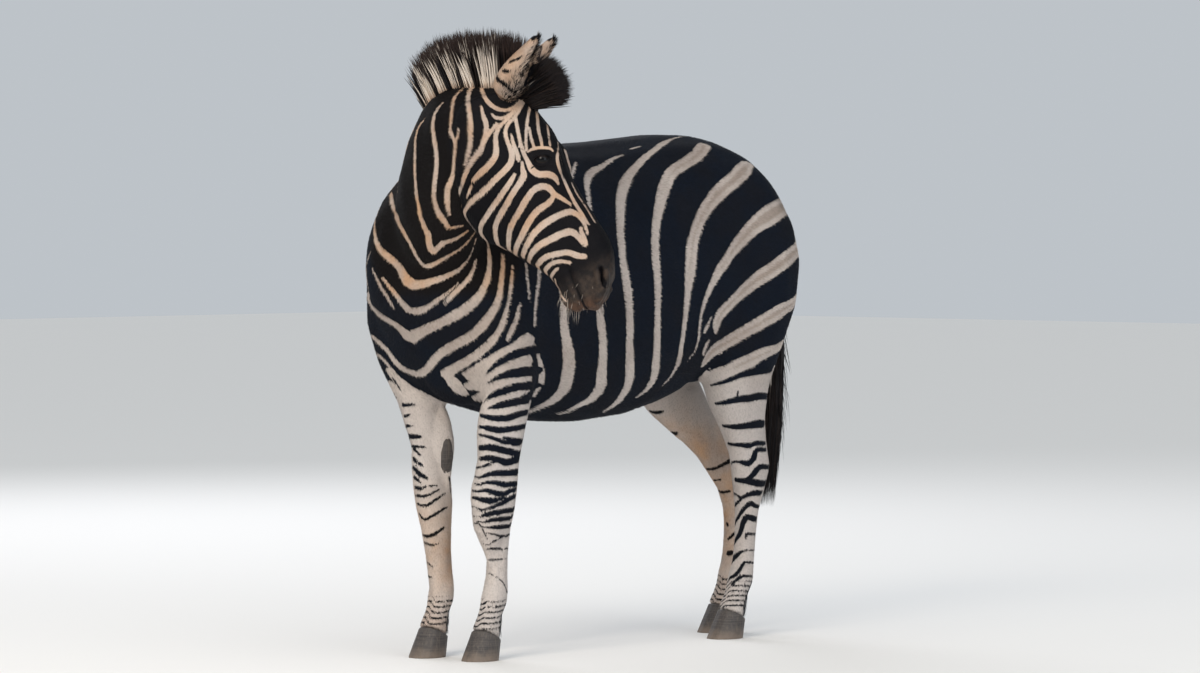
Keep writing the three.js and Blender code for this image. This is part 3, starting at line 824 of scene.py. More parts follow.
# ---- Markings -----------------------------------------------------------------------------------------
# Each stripe is a stroke of (x, y, half width), in pixels of the 1200 by 673 frame that the camera sees.
# They are laid on the skin along the way that the camera looks.
FACE_WHITES = [
    [(496.9, 124.5, 2), (489.4, 133.7, 2), (484.5, 143.5, 1.7), (480.3, 151.9, 3.1),
     (472.6, 161.7, 2.8), (467, 171.5, 2.5), (462.8, 181.4, 2.5), (459.5, 192.6, 2),
     (459, 202.4, 1.4), (460.9, 213.6, 1.3), (463.5, 220.6, 1.3)],
    [(481.4, 106.3, 1.1), (483.4, 115.4, 2.1), (486.6, 125.2, 2.4), (485.2, 136.5, 2.2),
     (482.4, 146.3, 2.5), (480.3, 153.3, 2.8)],
    [(518.9, 107, 1.3), (510.5, 116.8, 1.5), (500, 126.6, 2), (496, 136.5, 2.2), (496.4, 147.7, 2.8),
     (495.5, 156.1, 3.1), (488.7, 165.9, 3.1), (480.3, 172.9, 3.1), (473.3, 180, 2)],
    [(471.9, 184.2, 1.1), (469.8, 189.8, 1.7), (467, 196.1, 1.1)],
    [(525.5, 98.6, 1.7), (521, 107, 1.8), (515.4, 116.8, 1.7), (507.7, 125.2, 1.7),
     (505.6, 133.7, 2), (508.4, 143.5, 2), (511.9, 153.3, 2.8), (510.5, 163.1, 3.1),
     (503.5, 171.5, 3.1), (494.3, 180, 3.1), (484.5, 189.8, 3.1), (474.7, 198.2, 2.8),
     (467, 206.6, 2.5), (464.2, 216.4, 2.2), (467, 226.3, 2), (472.6, 233.3, 1.7)],
    [(515.8, 117.5, 1.4), (517.4, 127.8, 1.8), (520.5, 142.2, 1.8), (523.7, 153.4, 1.9),
     (526.9, 159.7, 2.2), (531.7, 169.3, 3.2), (538.9, 174.1, 3.2), (548.5, 174.1, 3.2),
     (554.8, 177.3, 2.9), (558.3, 183.7, 1.3)],
    [(511.5, 135, 1), (513.7, 143.8, 1.8), (516.6, 151.8, 2.1), (518.5, 159.7, 1.8)],
    [(522.1, 162.1, 1.3), (522.6, 169.3, 2.2), (523.7, 175.7, 3.2), (518.1, 185.3, 2.9),
     (511.8, 194.8, 2.9), (505.4, 206, 2.9), (499.8, 215.6, 2.9), (495.8, 225.1, 2.6),
     (495.8, 234.7, 2.4), (498.2, 244.3, 2.4), (502.2, 252.2, 2.2), (504.6, 254.6, 1.3)],
    [(514.5, 174.1, 1.6), (510.2, 182.1, 2.6), (502.2, 193.2, 2.7), (494.2, 204.4, 2.7),
     (487.8, 214, 2.6), (481.8, 223.5, 2.6), (480.7, 231.5, 2.4), (485.5, 239.5, 1.6)],
    [(570.8, 204.4, 1.3), (562.8, 198.8, 2.2), (554, 193.6, 2.6), (548.5, 187.7, 3.2),
     (541.3, 186.1, 3.2), (533.3, 190, 3.2), (526.1, 199.6, 3.2), (519.7, 210.8, 3.2),
     (513.4, 220.4, 2.9), (509.9, 229.9, 2.7), (508.9, 241.1, 2.4), (508.9, 252.2, 1.9)],
    [(554, 195.6, 2.2), (548.5, 202.8, 2.9), (538.9, 209.2, 3.2), (531.7, 217.2, 3.2),
     (526.1, 226.7, 3.2), (521.3, 236.3, 2.9), (516.6, 245.9, 2.6), (515, 253.8, 2.2),
     (514.6, 258.6, 1.3)],
    [(587.5, 233.1, 1.3), (584.3, 223.5, 1.9), (578.8, 215.6, 2.6), (570.8, 211.6, 2.9),
     (561.2, 214, 3.2), (551.6, 218.8, 3.2), (542.1, 225.1, 3.5), (534.1, 233.1, 3.2),
     (527.7, 242.7, 2.9), (523.7, 252.2, 2.4), (522.1, 258.6, 1.6)],
    [(584.3, 245.1, 2.2), (578.8, 237.1, 2.9), (570.8, 231.5, 3.5), (561.2, 233.9, 3.5),
     (550, 239.5, 3.5), (540.5, 244.3, 3.2), (533.3, 250.7, 2.9), (529.3, 258.6, 2.2),
     (527.4, 264.2, 1.6)],
    [(580, 227.5, 1.3), (582.7, 233.9, 1.9), (585.5, 241.1, 1.9), (587, 244.3, 1)],
    [(584.3, 256.2, 2.6), (577.2, 255.4, 3), (567.6, 252.2, 2.9), (556.4, 253.8, 2.9),
     (546.9, 256.2, 2.9), (539.7, 261.8, 2.6), (535.7, 268.2, 2.1), (535.7, 273.8, 1.6)],
    [(570, 262.6, 1.6), (561.2, 261, 1.9), (551.6, 263.4, 2.2), (545.3, 269.8, 2.2),
     (542.9, 276.2, 1.9), (542.9, 279.4, 1.3)],
    [(558, 268.2, 1.3), (554.8, 270.6, 1.6), (550.8, 277, 1.6), (548.9, 283.3, 1.1)],
    [(529.3, 95.2, 1.3), (530.6, 103.9, 1.4), (528.5, 115.1, 1.4), (526.9, 126.3, 1.6),
     (526.1, 137.4, 1.3), (526.4, 150.2, 1.3)],
    [(529.3, 127.8, 1.3), (531.2, 137.4, 1.4), (534.1, 147.8, 1.4)],
    [(534.4, 97.5, 1), (536.5, 107.1, 1.8), (537.6, 118.3, 1.9), (538.6, 129.4, 1.8),
     (540.8, 139, 1.6), (542.1, 146.2, 1.3)],
    [(544.5, 110.3, 0.6), (546.5, 121.5, 1.3), (548.5, 132.6, 1.6), (550, 145.4, 1.3)],
    [(557.2, 139, 1), (558.3, 148.6, 1.4), (557.2, 158.1, 1.9), (559.3, 167.7, 1.9),
     (562.8, 177.3, 1.9), (568.4, 190, 1.9), (574.8, 202.8, 1.9), (581.1, 212.4, 1.9),
     (585.9, 220.4, 1.6), (589.1, 224.3, 1)],
    [(562, 141.4, 1.1), (566, 153.4, 1.9), (569.5, 166.1, 1.9), (573.2, 175.7, 1.8),
     (578.8, 185.3, 1.4), (584.3, 194.8, 1.3), (589.1, 202.8, 1.3), (595.5, 214, 1.3),
     (599.5, 221.9, 0.8)],
    [(571.1, 182.1, 0.8), (576.4, 193.2, 1.3), (583.5, 203.6, 1.4), (589.9, 214, 1.4),
     (594.7, 221.9, 1.1)],
]

FACE_DETAIL_WHITES = [
    [(527.5, 152, 0.7), (531, 149.6, 1.2), (536, 148, 1.5), (543, 147.6, 1.5), (550, 148.2, 1.4),
     (553, 151, 0.8)],
    [(555, 279, 1.0), (557, 287, 1.5), (561, 295, 1.5), (566, 301, 1.1)],
    [(549, 281, 0.8), (551, 288, 1.3), (554, 295, 1.4), (559, 301, 1.0)],
]

# Strokes along the nostrils and the mouth's slit, where the muzzle is painted darker as shade in these
# openings.
NOSTRIL_DARKS = [
    [(600.8, 267, 1.8), (602.0, 276, 2.8), (604.2, 286, 2.2)],
    [(569.5, 271, 0.8), (573, 281, 0.9), (578, 292, 0.9), (583.5, 304, 0.9), (587, 309, 0.8)],
]

EAR_LOOP_WHITES = [
    [(482.7, 80, 1.4), (482.3, 89.6, 1.8), (487, 100.7, 2.1), (495, 107.9, 2.1), (504.6, 110.6, 1.9),
     (513.4, 107.9, 1.6), (520.5, 100.7, 1.1)],
    [(491.8, 113.8, 1), (495.8, 118, 1.6), (503.8, 118, 1.8), (511, 113.8, 1.6), (518.1, 107.1, 1.3),
     (522.1, 100.7, 1)],
]

NECK_WHITES = [
    [(478.9, 80.3, 2.2), (473.3, 86.6, 2.5), (469.4, 93, 2.5), (468.4, 101.4, 2.5),
     (469.8, 112.6, 2.5), (471.2, 123.8, 2.8), (471.2, 135.1, 2.8), (470.8, 146.3, 2.5),
     (468.4, 156.1, 2), (465.6, 165.9, 1.1)],
    [(464.2, 88.1, 1.4), (457.9, 93.7, 2.1), (453.9, 100, 2.5), (452.5, 111.2, 2.5),
     (451.5, 122.4, 2.4), (450.8, 130.8, 2), (453.7, 137.9, 2.5), (455.8, 144.9, 2.8),
     (455.3, 156.1, 2.8), (454.4, 167.3, 2.8), (452.2, 178.6, 2.8), (448.3, 188.4, 3.4),
     (447.3, 196.8, 3.1), (448.3, 206.6, 2.8), (449.2, 213.6, 2.2)],
    [(459.3, 129.4, 1.1), (458.6, 136.5, 1.8), (456.2, 142.1, 2.2)],
    [(443.1, 102.8, 1.1), (437.5, 109.8, 2), (434, 118.2, 2.8), (433.3, 129.4, 2.8),
     (434.7, 140.7, 3.1), (436.5, 151.9, 3.1), (436.8, 163.1, 3.1), (436.1, 174.3, 3.1),
     (434.7, 185.6, 3.1), (434.3, 196.8, 2.8), (436.5, 206.6, 3.1), (440.3, 215, 3.4),
     (445.2, 222, 3.4), (448, 226.3, 2.8)],
    [(451.7, 227.4, 1.7), (457.3, 226, 1.8), (463.6, 225, 1.1)],
    [(425.3, 118.9, 0.8), (419.3, 126.6, 2), (416.2, 136.5, 2.4), (415.5, 149.1, 2.5),
     (415.3, 161.7, 2.8), (415.3, 175.7, 2.8), (416.2, 188.4, 2.8), (417.9, 201, 2.8),
     (420.7, 213.6, 3.1), (419.4, 212.6, 2.8), (423.6, 223.9, 3.4), (428.5, 235.1, 3.6),
     (429.2, 243.5, 3.6), (432, 251.2, 3.1), (436.9, 248.4, 2.5), (443.2, 242.8, 2.8),
     (451.7, 240, 2.2), (460.1, 235.8, 2), (467.1, 230.9, 1.4)],
    [(396.4, 163.1, 0.6), (392.6, 172.9, 1.4), (390.8, 184.2, 2.2), (391.6, 196.8, 2.4),
     (394, 208, 2.5), (398.9, 219.2, 3.1), (395.5, 215.4, 3.1), (401.1, 226.7, 3.4),
     (406.7, 236.5, 3.1), (411.7, 246.3, 2.8), (416.6, 255.4, 2.5), (421.5, 263.1, 2.5),
     (427.8, 266, 2.5), (436.2, 262.4, 2.1), (446, 256.8, 2), (457.3, 250.5, 1.7),
     (465.7, 243.5, 1.4), (471.3, 236.5, 1), (475.5, 230.9, 0.7)],
    [(407.3, 139.3, 0.8), (404.5, 149.1, 1.3), (403.8, 157.5, 1.3), (403.8, 165.2, 0.7)],
    [(379.4, 205.6, 0.7), (376.2, 216.8, 1.5), (374.8, 228.1, 2.2), (376.2, 239.3, 2.8),
     (380.8, 249.1, 3.4), (388.5, 256.8, 3.6), (396.2, 263.1, 3.9), (402.5, 272.3, 4.8),
     (406.7, 280, 5.3), (413.8, 284.2, 5.1), (423.6, 283.5, 3.9), (434.8, 280, 3.4),
     (446, 275.8, 3.1), (457.3, 270.2, 2.5), (465.7, 261.7, 1.4), (472, 250.5, 1),
     (475.8, 237.9, 0.7)],
    [(372.4, 267.4, 1), (376.6, 277.2, 1.7), (382.2, 288.4, 2.2), (388.5, 298.2, 2.1),
     (394.1, 308.1, 1.1)],
    [(381.8, 276.9, 1.1), (387.1, 282.8, 2), (394.1, 291.9, 2.8), (401.1, 301, 3.6),
     (408.1, 308.8, 3.9), (415.9, 310.9, 3.6), (423.6, 308.8, 3.1), (430.6, 304.5, 2.2),
     (439, 298.9, 2), (448.8, 291.2, 1.1), (458, 282.8, 0.7)],
    [(443.9, 303.8, 1.4), (450.2, 296.8, 2.2), (458.7, 288.4, 2.5), (467.1, 280, 2.2),
     (472.7, 270.2, 1.7), (475.5, 258.9, 0.8)],
]

BREAST_WHITES = [
    [(370.7, 251.9, 0.7), (367.2, 263.1, 1.5), (365.8, 275.8, 2), (366.3, 289.8, 2.8),
     (370.3, 302.4, 3.4), (377.3, 312.3, 3.6), (387.1, 319.3, 3.6), (396.9, 325.6, 4.2),
     (405.3, 333.3, 6.2), (410.3, 336.8, 7), (418, 333.3, 5.6), (429.2, 327.7, 5.1),
     (441.8, 322.1, 4.8), (454.5, 315.1, 5.1), (465.7, 308.1, 5.1), (476.9, 298.2, 4.5),
     (483.9, 287, 3.6), (488.1, 274.4, 3.1), (489.3, 261.7, 2.2), (488.1, 249.1, 1.7),
     (486.7, 240.7, 0.8)],
    [(355.1, 312.3, 1), (359, 323.5, 1.7), (367.5, 332.6, 2.2), (377.3, 340.3, 2.8),
     (387.1, 349.5, 3.1), (393.4, 358.6, 3.6), (400.4, 366.3, 3.9), (409.6, 371.2, 3.9),
     (419.4, 373.3, 4.2), (427.8, 367.7, 3.9), (434.8, 358.6, 4.2), (444.6, 350.2, 4.5),
     (457.3, 343.1, 4.8), (469.9, 336.1, 5.1), (481.1, 326.3, 4.8), (490.9, 313.7, 4.2),
     (498, 299.6, 3.1), (500.8, 284.2, 2.5), (502.2, 268.8, 2.1), (502.5, 254.7, 1.7)],
    [(366, 341.7, 1.1), (374.5, 350.9, 1.7), (384.3, 360, 2), (391.3, 368.4, 1.7), (399.7, 378.2, 2),
     (408.1, 385.2, 2.2), (418, 392.3, 2.5), (425, 396.5, 2)],
    [(446, 374, 6.5), (455.9, 367, 5.1), (467.1, 360.7, 4.5), (478.3, 353, 4.2), (489.5, 343.1, 3.9),
     (497.3, 333.3, 3.1), (502.2, 323.5, 2.8), (506.4, 309.5, 2), (509.2, 295.4, 1.8),
     (511.3, 280, 1.7), (512.3, 266, 1.1)],
    [(451.7, 381, 7), (457.3, 388, 7), (464.3, 393, 4.2)],
    [(507.1, 338.9, 2), (511.3, 330.5, 2.8), (515.5, 320.7, 2.5), (518.3, 310.9, 2.2),
     (519.4, 303.8, 1.1)],
    [(464.3, 374, 2.8), (476.9, 368.4, 4.5), (488.1, 361.4, 4.2), (499.4, 353, 3.6),
     (510.6, 347.3, 3.4), (519, 341, 3.4), (527.4, 336.1, 3.6), (532.3, 340.3, 2.2)],
]

FLANK_WHITES = [
    [(621.8, 155.2, 1), (611, 159.5, 1.8), (601.1, 166.5, 2.8), (593.2, 170.4, 3.6),
     (587.2, 177.3, 4), (586.2, 187.2, 3.2), (588.2, 199.1, 2.4)],
    [(629.2, 149.3, 0.8), (634.7, 148.1, 1.6), (639.8, 146.5, 0.6)],
    [(682.2, 136.8, 0.6), (672.3, 138.8, 1.2), (662.4, 143.7, 3.2), (654.5, 149.7, 2.8),
     (644.6, 157.6, 3.2), (636.7, 165.5, 3.6), (628.8, 175.4, 4.7), (622.8, 187.2, 5.9),
     (619.9, 201.1, 5.5), (619.9, 216.9, 5.3), (619.9, 230.7, 4.9), (621.2, 246.6, 4.7),
     (622.8, 262.4, 4.7), (624.8, 276.2, 5.1), (627.8, 294, 5.5), (628.8, 309.8, 5.1),
     (629.7, 327.6, 4.9), (629.2, 345.4, 4.9), (629.4, 363.2, 5.3), (629.2, 379, 5.9),
     (623.8, 392.9, 5.9), (614.9, 403.8, 4.7), (603.1, 410.7, 2)],
    [(703.9, 145.7, 6.7), (696, 155.6, 6.7), (684.1, 163.5, 6.3), (672.3, 171.4, 5.9),
     (666.3, 181.3, 6.7), (661.4, 195.1, 6.7), (658.4, 209, 5.9), (655.5, 224.8, 5.5),
     (654.5, 238.6, 5.5), (654.9, 254.5, 5.5), (656.4, 270.3, 5.1), (657.4, 288.1, 4.7),
     (657.4, 307.9, 4.4), (657, 327.6, 4.5), (656.4, 347.4, 4.9), (655.5, 363.2, 5.1),
     (653.5, 377.1, 5.1), (646.6, 388.9, 4), (636.7, 396.8, 2)],
    [(710.8, 141.4, 1), (715.8, 142.7, 1.2), (720.7, 145.3, 0.6)],
    [(755.3, 167.1, 1.2), (748.4, 163.9, 5.1), (743.5, 169.4, 8.3), (733.6, 179.3, 7.9),
     (721.7, 189.2, 7.9), (710.8, 201.1, 7.1), (701.9, 214.9, 6.7), (696, 228.8, 6.7),
     (692.4, 242.6, 7.1), (690.5, 258.4, 7.1), (689.1, 274.2, 6.7), (687.1, 290.1, 5.1),
     (685.7, 307.9, 4), (683.7, 327.6, 3.4), (681.2, 345.4, 3.2), (678.2, 361.2, 3.6),
     (671.3, 375.1, 2.4), (662.4, 385, 1.2)],
    [(785, 205, 8.7), (769.2, 214.9, 10.3), (755.3, 224.8, 8.7), (743.5, 236.7, 7.5),
     (733.6, 248.5, 6.7), (725.7, 260.4, 5.9), (717.7, 272.3, 5.1), (710.8, 286.1, 4),
     (704.9, 299.9, 3), (700.9, 313.8, 2.2), (699, 329.6, 1.8), (698, 339.5, 1.6), (694, 351.4, 1.2),
     (687.1, 360.3, 0.6)],
    [(797.8, 248.5, 7.1), (787, 258.4, 7.9), (771.1, 270.3, 7.9), (755.3, 280.2, 7.5),
     (741.5, 292, 7.1), (729.6, 303.9, 6.7), (719.7, 314.8, 6.7), (715.8, 325.7, 4.7),
     (715.8, 333.6, 1.2)],
    [(710.2, 317.7, 1), (706.9, 325.7, 2.8), (703.9, 332.6, 1.6)],
    [(707.9, 340.5, 1.6), (704.9, 347.4, 2.8), (702.9, 354.3, 1.6)],
    [(791.9, 303.9, 5.9), (779, 311.8, 7.5), (765.2, 319.7, 7.1), (751.4, 327.6, 6.7),
     (737.5, 335.5, 6.3), (723.7, 343.5, 7.1), (711.8, 351.4, 8.7), (704.9, 361.2, 7.1)],
    [(774.1, 349.4, 5.1), (763.2, 353.3, 6.7), (747.4, 361.2, 7.1), (733.6, 367.2, 7.1),
     (719.7, 375.1, 5.9), (707.9, 379, 4)],
    [(765.2, 381, 5.1), (753.3, 387, 7.1), (737.5, 390.9, 7.9), (721.7, 394.9, 7.9),
     (709.8, 396.8, 5.9)],
    [(575, 163, 1.5), (568, 185, 2.5), (562, 215, 3.5), (560, 260, 4.2), (563.1, 303.9, 4.4),
     (563.1, 315.8, 4.7), (563.9, 327.6, 5.1), (565.9, 341.5, 5.9), (568.4, 357.3, 7.1),
     (567.5, 373.1, 7.9), (563.5, 388.9, 7.5), (551.6, 400.8, 6.7), (537.8, 406.7, 4.7),
     (528.9, 410.7, 2.4)],
    [(588, 199, 2.4), (590, 230, 3.5), (595, 270, 4.2), (599.1, 303.9, 4.4), (600.1, 319.7, 4.7),
     (602.1, 335.5, 4.9), (602.7, 353.3, 5.1), (601.5, 369.2, 5.9), (600.1, 385, 7.1),
     (593.2, 396.8, 7.1), (579.3, 404.8, 4.7), (565.5, 410.7, 2.8), (555.6, 412.7, 1.6)],
    [(534, 345, 2), (540, 365, 3.6), (541, 380, 3.6), (534, 395, 2)],
    [(525.5, 264, 1.1), (527, 280, 1.5), (528.3, 292, 1.4), (528.6, 301, 0.8)],
    [(541, 215, 2), (540, 245, 2.2), (538.5, 277, 2.2), (537, 290, 2.3), (535.2, 305, 2), (534, 326, 1.2)],
]

BELLY_BLACKS = [
    [(528.9, 414.2, 1.2), (549.7, 416.6, 1.2), (579.3, 415.6, 1.2), (599.1, 412.7, 1.4),
     (618.9, 407.1, 1.4), (638.6, 399.2, 1.4), (658.4, 386.6, 1.4)],
]

FORELEG_BLACKS = [
    [(486, 373.3, 0.8), (496.6, 364.2, 2.8), (507.8, 357.2, 4.2), (519, 352.3, 4.5),
     (533.7, 349.5, 4.8)],
    [(487.1, 382.5, 0.9), (496.1, 378, 2.5), (508.6, 373.6, 4.6), (521.1, 371.8, 5.4),
     (530.9, 370.9, 5.4)],
    [(487.1, 398.6, 1.4), (496.1, 393.2, 3.6), (508.6, 388.8, 4.6), (519.3, 386.1, 4.6),
     (529.1, 385.2, 4.6)],
    [(477.3, 403.9, 0.7), (482.7, 402.7, 1.2), (487.1, 399.5, 1.1)],
    [(488, 407.9, 0.9), (497.9, 405.7, 3.2), (508.6, 403, 4.3), (519.3, 400.7, 4.3),
     (528.2, 400, 3.9)],
    [(477.3, 413.8, 1.4), (487.1, 416.8, 2.5), (497.9, 418.2, 3.2), (508.6, 417.3, 3.9),
     (519.3, 413.8, 3.6), (527.3, 412, 3.2)],
    [(479.1, 426.2, 1.4), (488.9, 428, 2.9), (499.6, 429.8, 3.6), (510.4, 428.6, 3.2),
     (519.3, 427.1, 3.2), (525.5, 425.4, 2.9)],
    [(479.1, 434.3, 1.4), (487.1, 436.1, 1.8), (496.1, 438.8, 2.1), (505, 442.3, 2.1)],
    [(503.2, 437, 1.4), (512.1, 439.6, 2.5), (521.1, 440.5, 2.5), (519.3, 444.1, 1.4),
     (512.1, 444.1, 1.4)],
    [(480, 447.7, 2.9), (488.9, 446.8, 3.6), (497.9, 448.6, 3.6), (508.6, 451.2, 3.6),
     (518.4, 453, 3.2)],
    [(480, 458.4, 2.1), (488.9, 457.5, 2.9), (497.9, 459.3, 3.2), (506.8, 462, 3.9),
     (518.4, 458.4, 4.3)],
    [(479.1, 467.3, 1.4), (487.1, 464.6, 1.8), (494.3, 462, 1.4)],
    [(480, 477.1, 1.4), (488.9, 473.9, 2.9), (497.9, 472.7, 3.9), (506.8, 472.7, 3.9),
     (516.6, 471.8, 4.3)],
    [(480, 484.3, 1.4), (487.1, 482.1, 2.1), (496.1, 482.5, 2.9), (505, 484.3, 3.6),
     (513.9, 483.4, 3.2)],
    [(478.2, 491.1, 1.8), (487.1, 490, 2.5), (496.1, 492.9, 3.2), (505, 493.2, 2.9),
     (512.1, 489.6, 3.2)],
    [(475.5, 497.7, 2.1), (485.4, 500, 3.6), (494.3, 500, 3.2), (503.2, 497.7, 1.8)],
    [(474.6, 506.6, 1.1), (481.8, 510.2, 1.8), (490.7, 507.1, 1.8), (501.4, 503, 2.9),
     (513, 496.8, 3.2)],
    [(479.1, 516.4, 1.1), (487.1, 513.8, 2.5), (497.9, 512, 3.2), (513, 509.3, 3.2)],
    [(482.7, 521.8, 1.2), (492.5, 519.6, 2.5), (503.2, 518.6, 2.9), (513.6, 517.3, 2.5)],
    [(487.1, 527.1, 1.1), (497.9, 526.8, 2.9), (512.1, 525.7, 2.5)],
    [(487.1, 532.5, 0.7), (496.1, 534.3, 1.4), (503.2, 536.1, 1.8), (510.4, 535.2, 1.8)],
    [(479.1, 523.6, 0.9), (483.6, 530.7, 0.9), (487.1, 537.9, 0.7)],
    [(488.9, 544.1, 0.9), (494.3, 540.5, 1.4), (501.4, 537, 1.1)],
    [(487.1, 548.6, 1.1), (494.3, 548.2, 1.8), (505, 548.6, 1.2)],
    [(485.4, 559.3, 0.9), (494.3, 559.6, 1.2), (503.2, 558.4, 0.7)],
    [(486.2, 571.8, 0.7), (494.3, 575.4, 1.1), (503.2, 582.5, 0.9), (507.7, 591.4, 1.1)],
]

FAR_FORELEG_BLACKS = [
    [(390.7, 377.1, 1.1), (395.2, 383.4, 1.4), (398.8, 388.8, 1.1)],
    [(393.4, 404.8, 1.4), (401.4, 404.8, 2.1), (413, 403.9, 1.1)],
    [(397, 416.8, 1.4), (403.2, 416.1, 1.8), (408.6, 413.8, 0.7)],
    [(399.6, 425.7, 1.8), (405, 425.7, 1.8), (410.4, 425.4, 0.9)],
    [(402.3, 434.3, 2.1), (410.4, 436.1, 2.5), (418.4, 436.4, 1.8)],
    [(405.9, 444.1, 2.1), (412.1, 448.6, 1.4), (418.4, 454.8, 1.1)],
    [(413, 445.9, 1.4), (422.9, 446.8, 1.1)],
    [(409.5, 455.7, 2.1), (414.8, 461.1, 1.8), (421.1, 465.5, 1.2)],
    [(412.1, 467.3, 2.1), (418.4, 473.6, 2.1), (425.5, 478, 1.4)],
    [(413, 477.1, 2.1), (419.3, 481.6, 1.4)],
    [(413.9, 487, 1.6), (420.2, 488.2, 1.8), (426.4, 486.1, 0.9), (435.4, 485.2, 0.9)],
    [(414.8, 495, 1.4), (422.9, 495.9, 1.4), (431.8, 492.3, 1.2), (438, 488.8, 0.9)],
    [(415.7, 503, 1.2), (422.9, 505.7, 1.4), (431.8, 501.2, 1.4), (443.4, 493.2, 1.1)],
    [(415.7, 511.1, 1.2), (422.9, 519.1, 1.4), (433.6, 513.8, 1.4), (445.2, 506.6, 1.2)],
    [(418.4, 532.5, 1.1), (424.6, 536.1, 1.4), (433.6, 533.4, 1.6), (442.5, 527.1, 1.2)],
    [(423, 542, 1.0), (430, 545, 1.1), (437, 543, 0.9)],
    [(423.5, 556, 1.2), (426, 562, 1.1), (431, 566, 0.9)],
    [(424, 574, 0.9), (430, 577, 0.9)],
    [(447.9, 477.1, 1.2), (448.8, 491.4, 0.9)],
]

HINDLEG_BLACKS = [
    [(781, 329.6, 6.7), (763.2, 337.5, 5.9), (747.4, 343.5, 5.5), (733.6, 351.4, 4.4),
     (719.7, 363.2, 2.8), (707.9, 370.1, 1.2)],
    [(771.1, 367.2, 5.9), (753.3, 371.1, 4.7), (739.5, 375.1, 3.2), (725.7, 381, 2.4),
     (710.8, 385, 1.2)],
    [(715.6, 403.6, 1.5), (726.1, 401.7, 2.7), (739.5, 398.8, 3.8), (749.1, 397.8, 4.2),
     (757.7, 395.9, 4.2)],
    [(736.6, 396.9, 1.1), (738, 390.6, 1)],
    [(723.2, 425.6, 1.9), (733.8, 426.5, 3.1), (745.2, 425.6, 3.8), (757.1, 423.7, 4.6)],
    [(721.3, 441.8, 1.1), (731.8, 443.8, 2.3), (741.4, 444.7, 2.7), (750, 445.1, 3.1),
     (755.8, 442.8, 2.7)],
    [(756.7, 449.5, 2.7), (753.9, 457.2, 3.4), (748.1, 462.9, 3.4), (739.5, 461.4, 1.9),
     (731.8, 461.9, 1.1), (729, 464.8, 0.8)],
    [(716.5, 475.3, 1), (728, 478.2, 1.9), (739.5, 480.1, 2.7), (749.1, 481.1, 3.4),
     (758.6, 483, 3.8)],
    [(747.2, 479.2, 1.9), (753.9, 473.4, 3.4), (759.6, 466.7, 3.1)],
    [(713.7, 487.8, 1), (724.2, 489.3, 1), (733.8, 492.6, 1.1), (741.4, 497.3, 1.5),
     (747.2, 494.5, 2.3), (754.8, 492.6, 3.1)],
    [(740.5, 499.3, 1.7), (735.7, 504, 1.7), (729.9, 506.5, 1)],
    [(755.8, 506, 2.3), (751, 503.1, 2.7), (745.2, 506.9, 2.3), (739.5, 514.6, 1.9),
     (735.7, 521.3, 1.5), (731.8, 525.1, 1.1)],
    [(752.9, 518.4, 3.1), (747.2, 516.5, 3.1), (743.3, 522.2, 2.7), (740.5, 531.8, 2.3),
     (735.7, 539.4, 2.3), (729.9, 543.3, 1.5)],
    [(746.2, 533.7, 1.5), (745.8, 537.5, 1.3)],
    [(745.2, 550, 1.1), (739.5, 552.8, 1.9), (733.8, 557.6, 3.1), (726.1, 561.4, 1.9)],
    [(744.3, 562.4, 1.5), (739.5, 570.1, 1.9), (733.8, 575.8, 1.9), (727.1, 578.7, 1.1)],
    [(743.3, 575.8, 1.5), (737.6, 578.7, 1.9), (731.8, 584.4, 1.1)],
]

FAR_HINDLEG_BLACKS = [
    [(649.6, 394.4, 1.5), (655.3, 394.4, 1.7), (660.1, 395, 1)],
    [(657.2, 411.2, 1.9), (663.9, 412.2, 2.3), (670.6, 410.8, 0.8)],
    [(664.9, 431.3, 2.7), (668.7, 433.2, 3.1), (673.5, 431.9, 1)],
    [(676, 450.5, 1.5), (679.2, 451, 1.9), (682.1, 451.4, 0.8)],
    [(690.7, 468.6, 1), (697.4, 468.6, 1.5), (707, 464.8, 1.5), (716.5, 460, 2.1)],
    [(696.4, 480.1, 1), (703.1, 479.2, 1)],
    [(700.3, 489.7, 1), (704.1, 492, 1.3), (711.8, 490.6, 1.3)],
    [(713.7, 523.2, 1.5), (714.6, 525.1, 1.1)],
    [(723.2, 531.8, 1.5), (716.5, 538.5, 1.3)],
    [(718.5, 552.8, 2.7), (721.3, 551.9, 1.9)],
]

EAR_BLACKS = [
    [(543.7, 35.7, 2.0), (537.8, 42.4, 2.0), (531.5, 51.6, 2.0), (526.6, 62.1, 1.8),
     (522.4, 71.9, 1.7), (518.9, 78.9, 1.1)],
    [(542.0, 41.0, 2.8), (537.1, 56.5, 2.0), (531.5, 67.7, 2.5), (526.6, 80.3, 2.0), (522.4, 88.8, 1.1)],
    [(509.1, 62.8, 1.4), (514.0, 60.7, 1.7), (520.3, 58.2, 1.3)],
    [(502.8, 71.2, 1.7), (506.3, 72.6, 2.0), (509.8, 73.0, 1.4)],
    [(495.5, 76.1, 1.7), (497.9, 80.3, 2.2), (502.1, 84.5, 2.4), (507.0, 89.5, 2.2), (511.5, 93.2, 1.5)],
    [(488.7, 79.6, 1.7), (487.6, 87.3, 3.4), (490.8, 95.8, 3.9), (497.1, 102.1, 3.6), (502.8, 105.9, 1.7)],
]

LEG_TOP_WHITES = [
    [(468, 377, 4), (480, 370, 6), (495, 361, 7), (512, 352, 7), (531, 341, 6)],
    [(468, 386, 5), (485, 383, 10), (505, 374, 12), (526, 364, 10)],
    [(476, 398, 5), (490, 398, 10), (505, 392, 12), (526, 384, 10)],
]

FAR_LEG_TOP_WHITES = [
    [(388, 370, 3), (400, 384, 5), (415, 392, 5), (430, 399, 5), (447, 404, 4)],
    [(392, 386, 7), (405, 398, 10), (422, 407, 10), (442, 412, 8)],
]


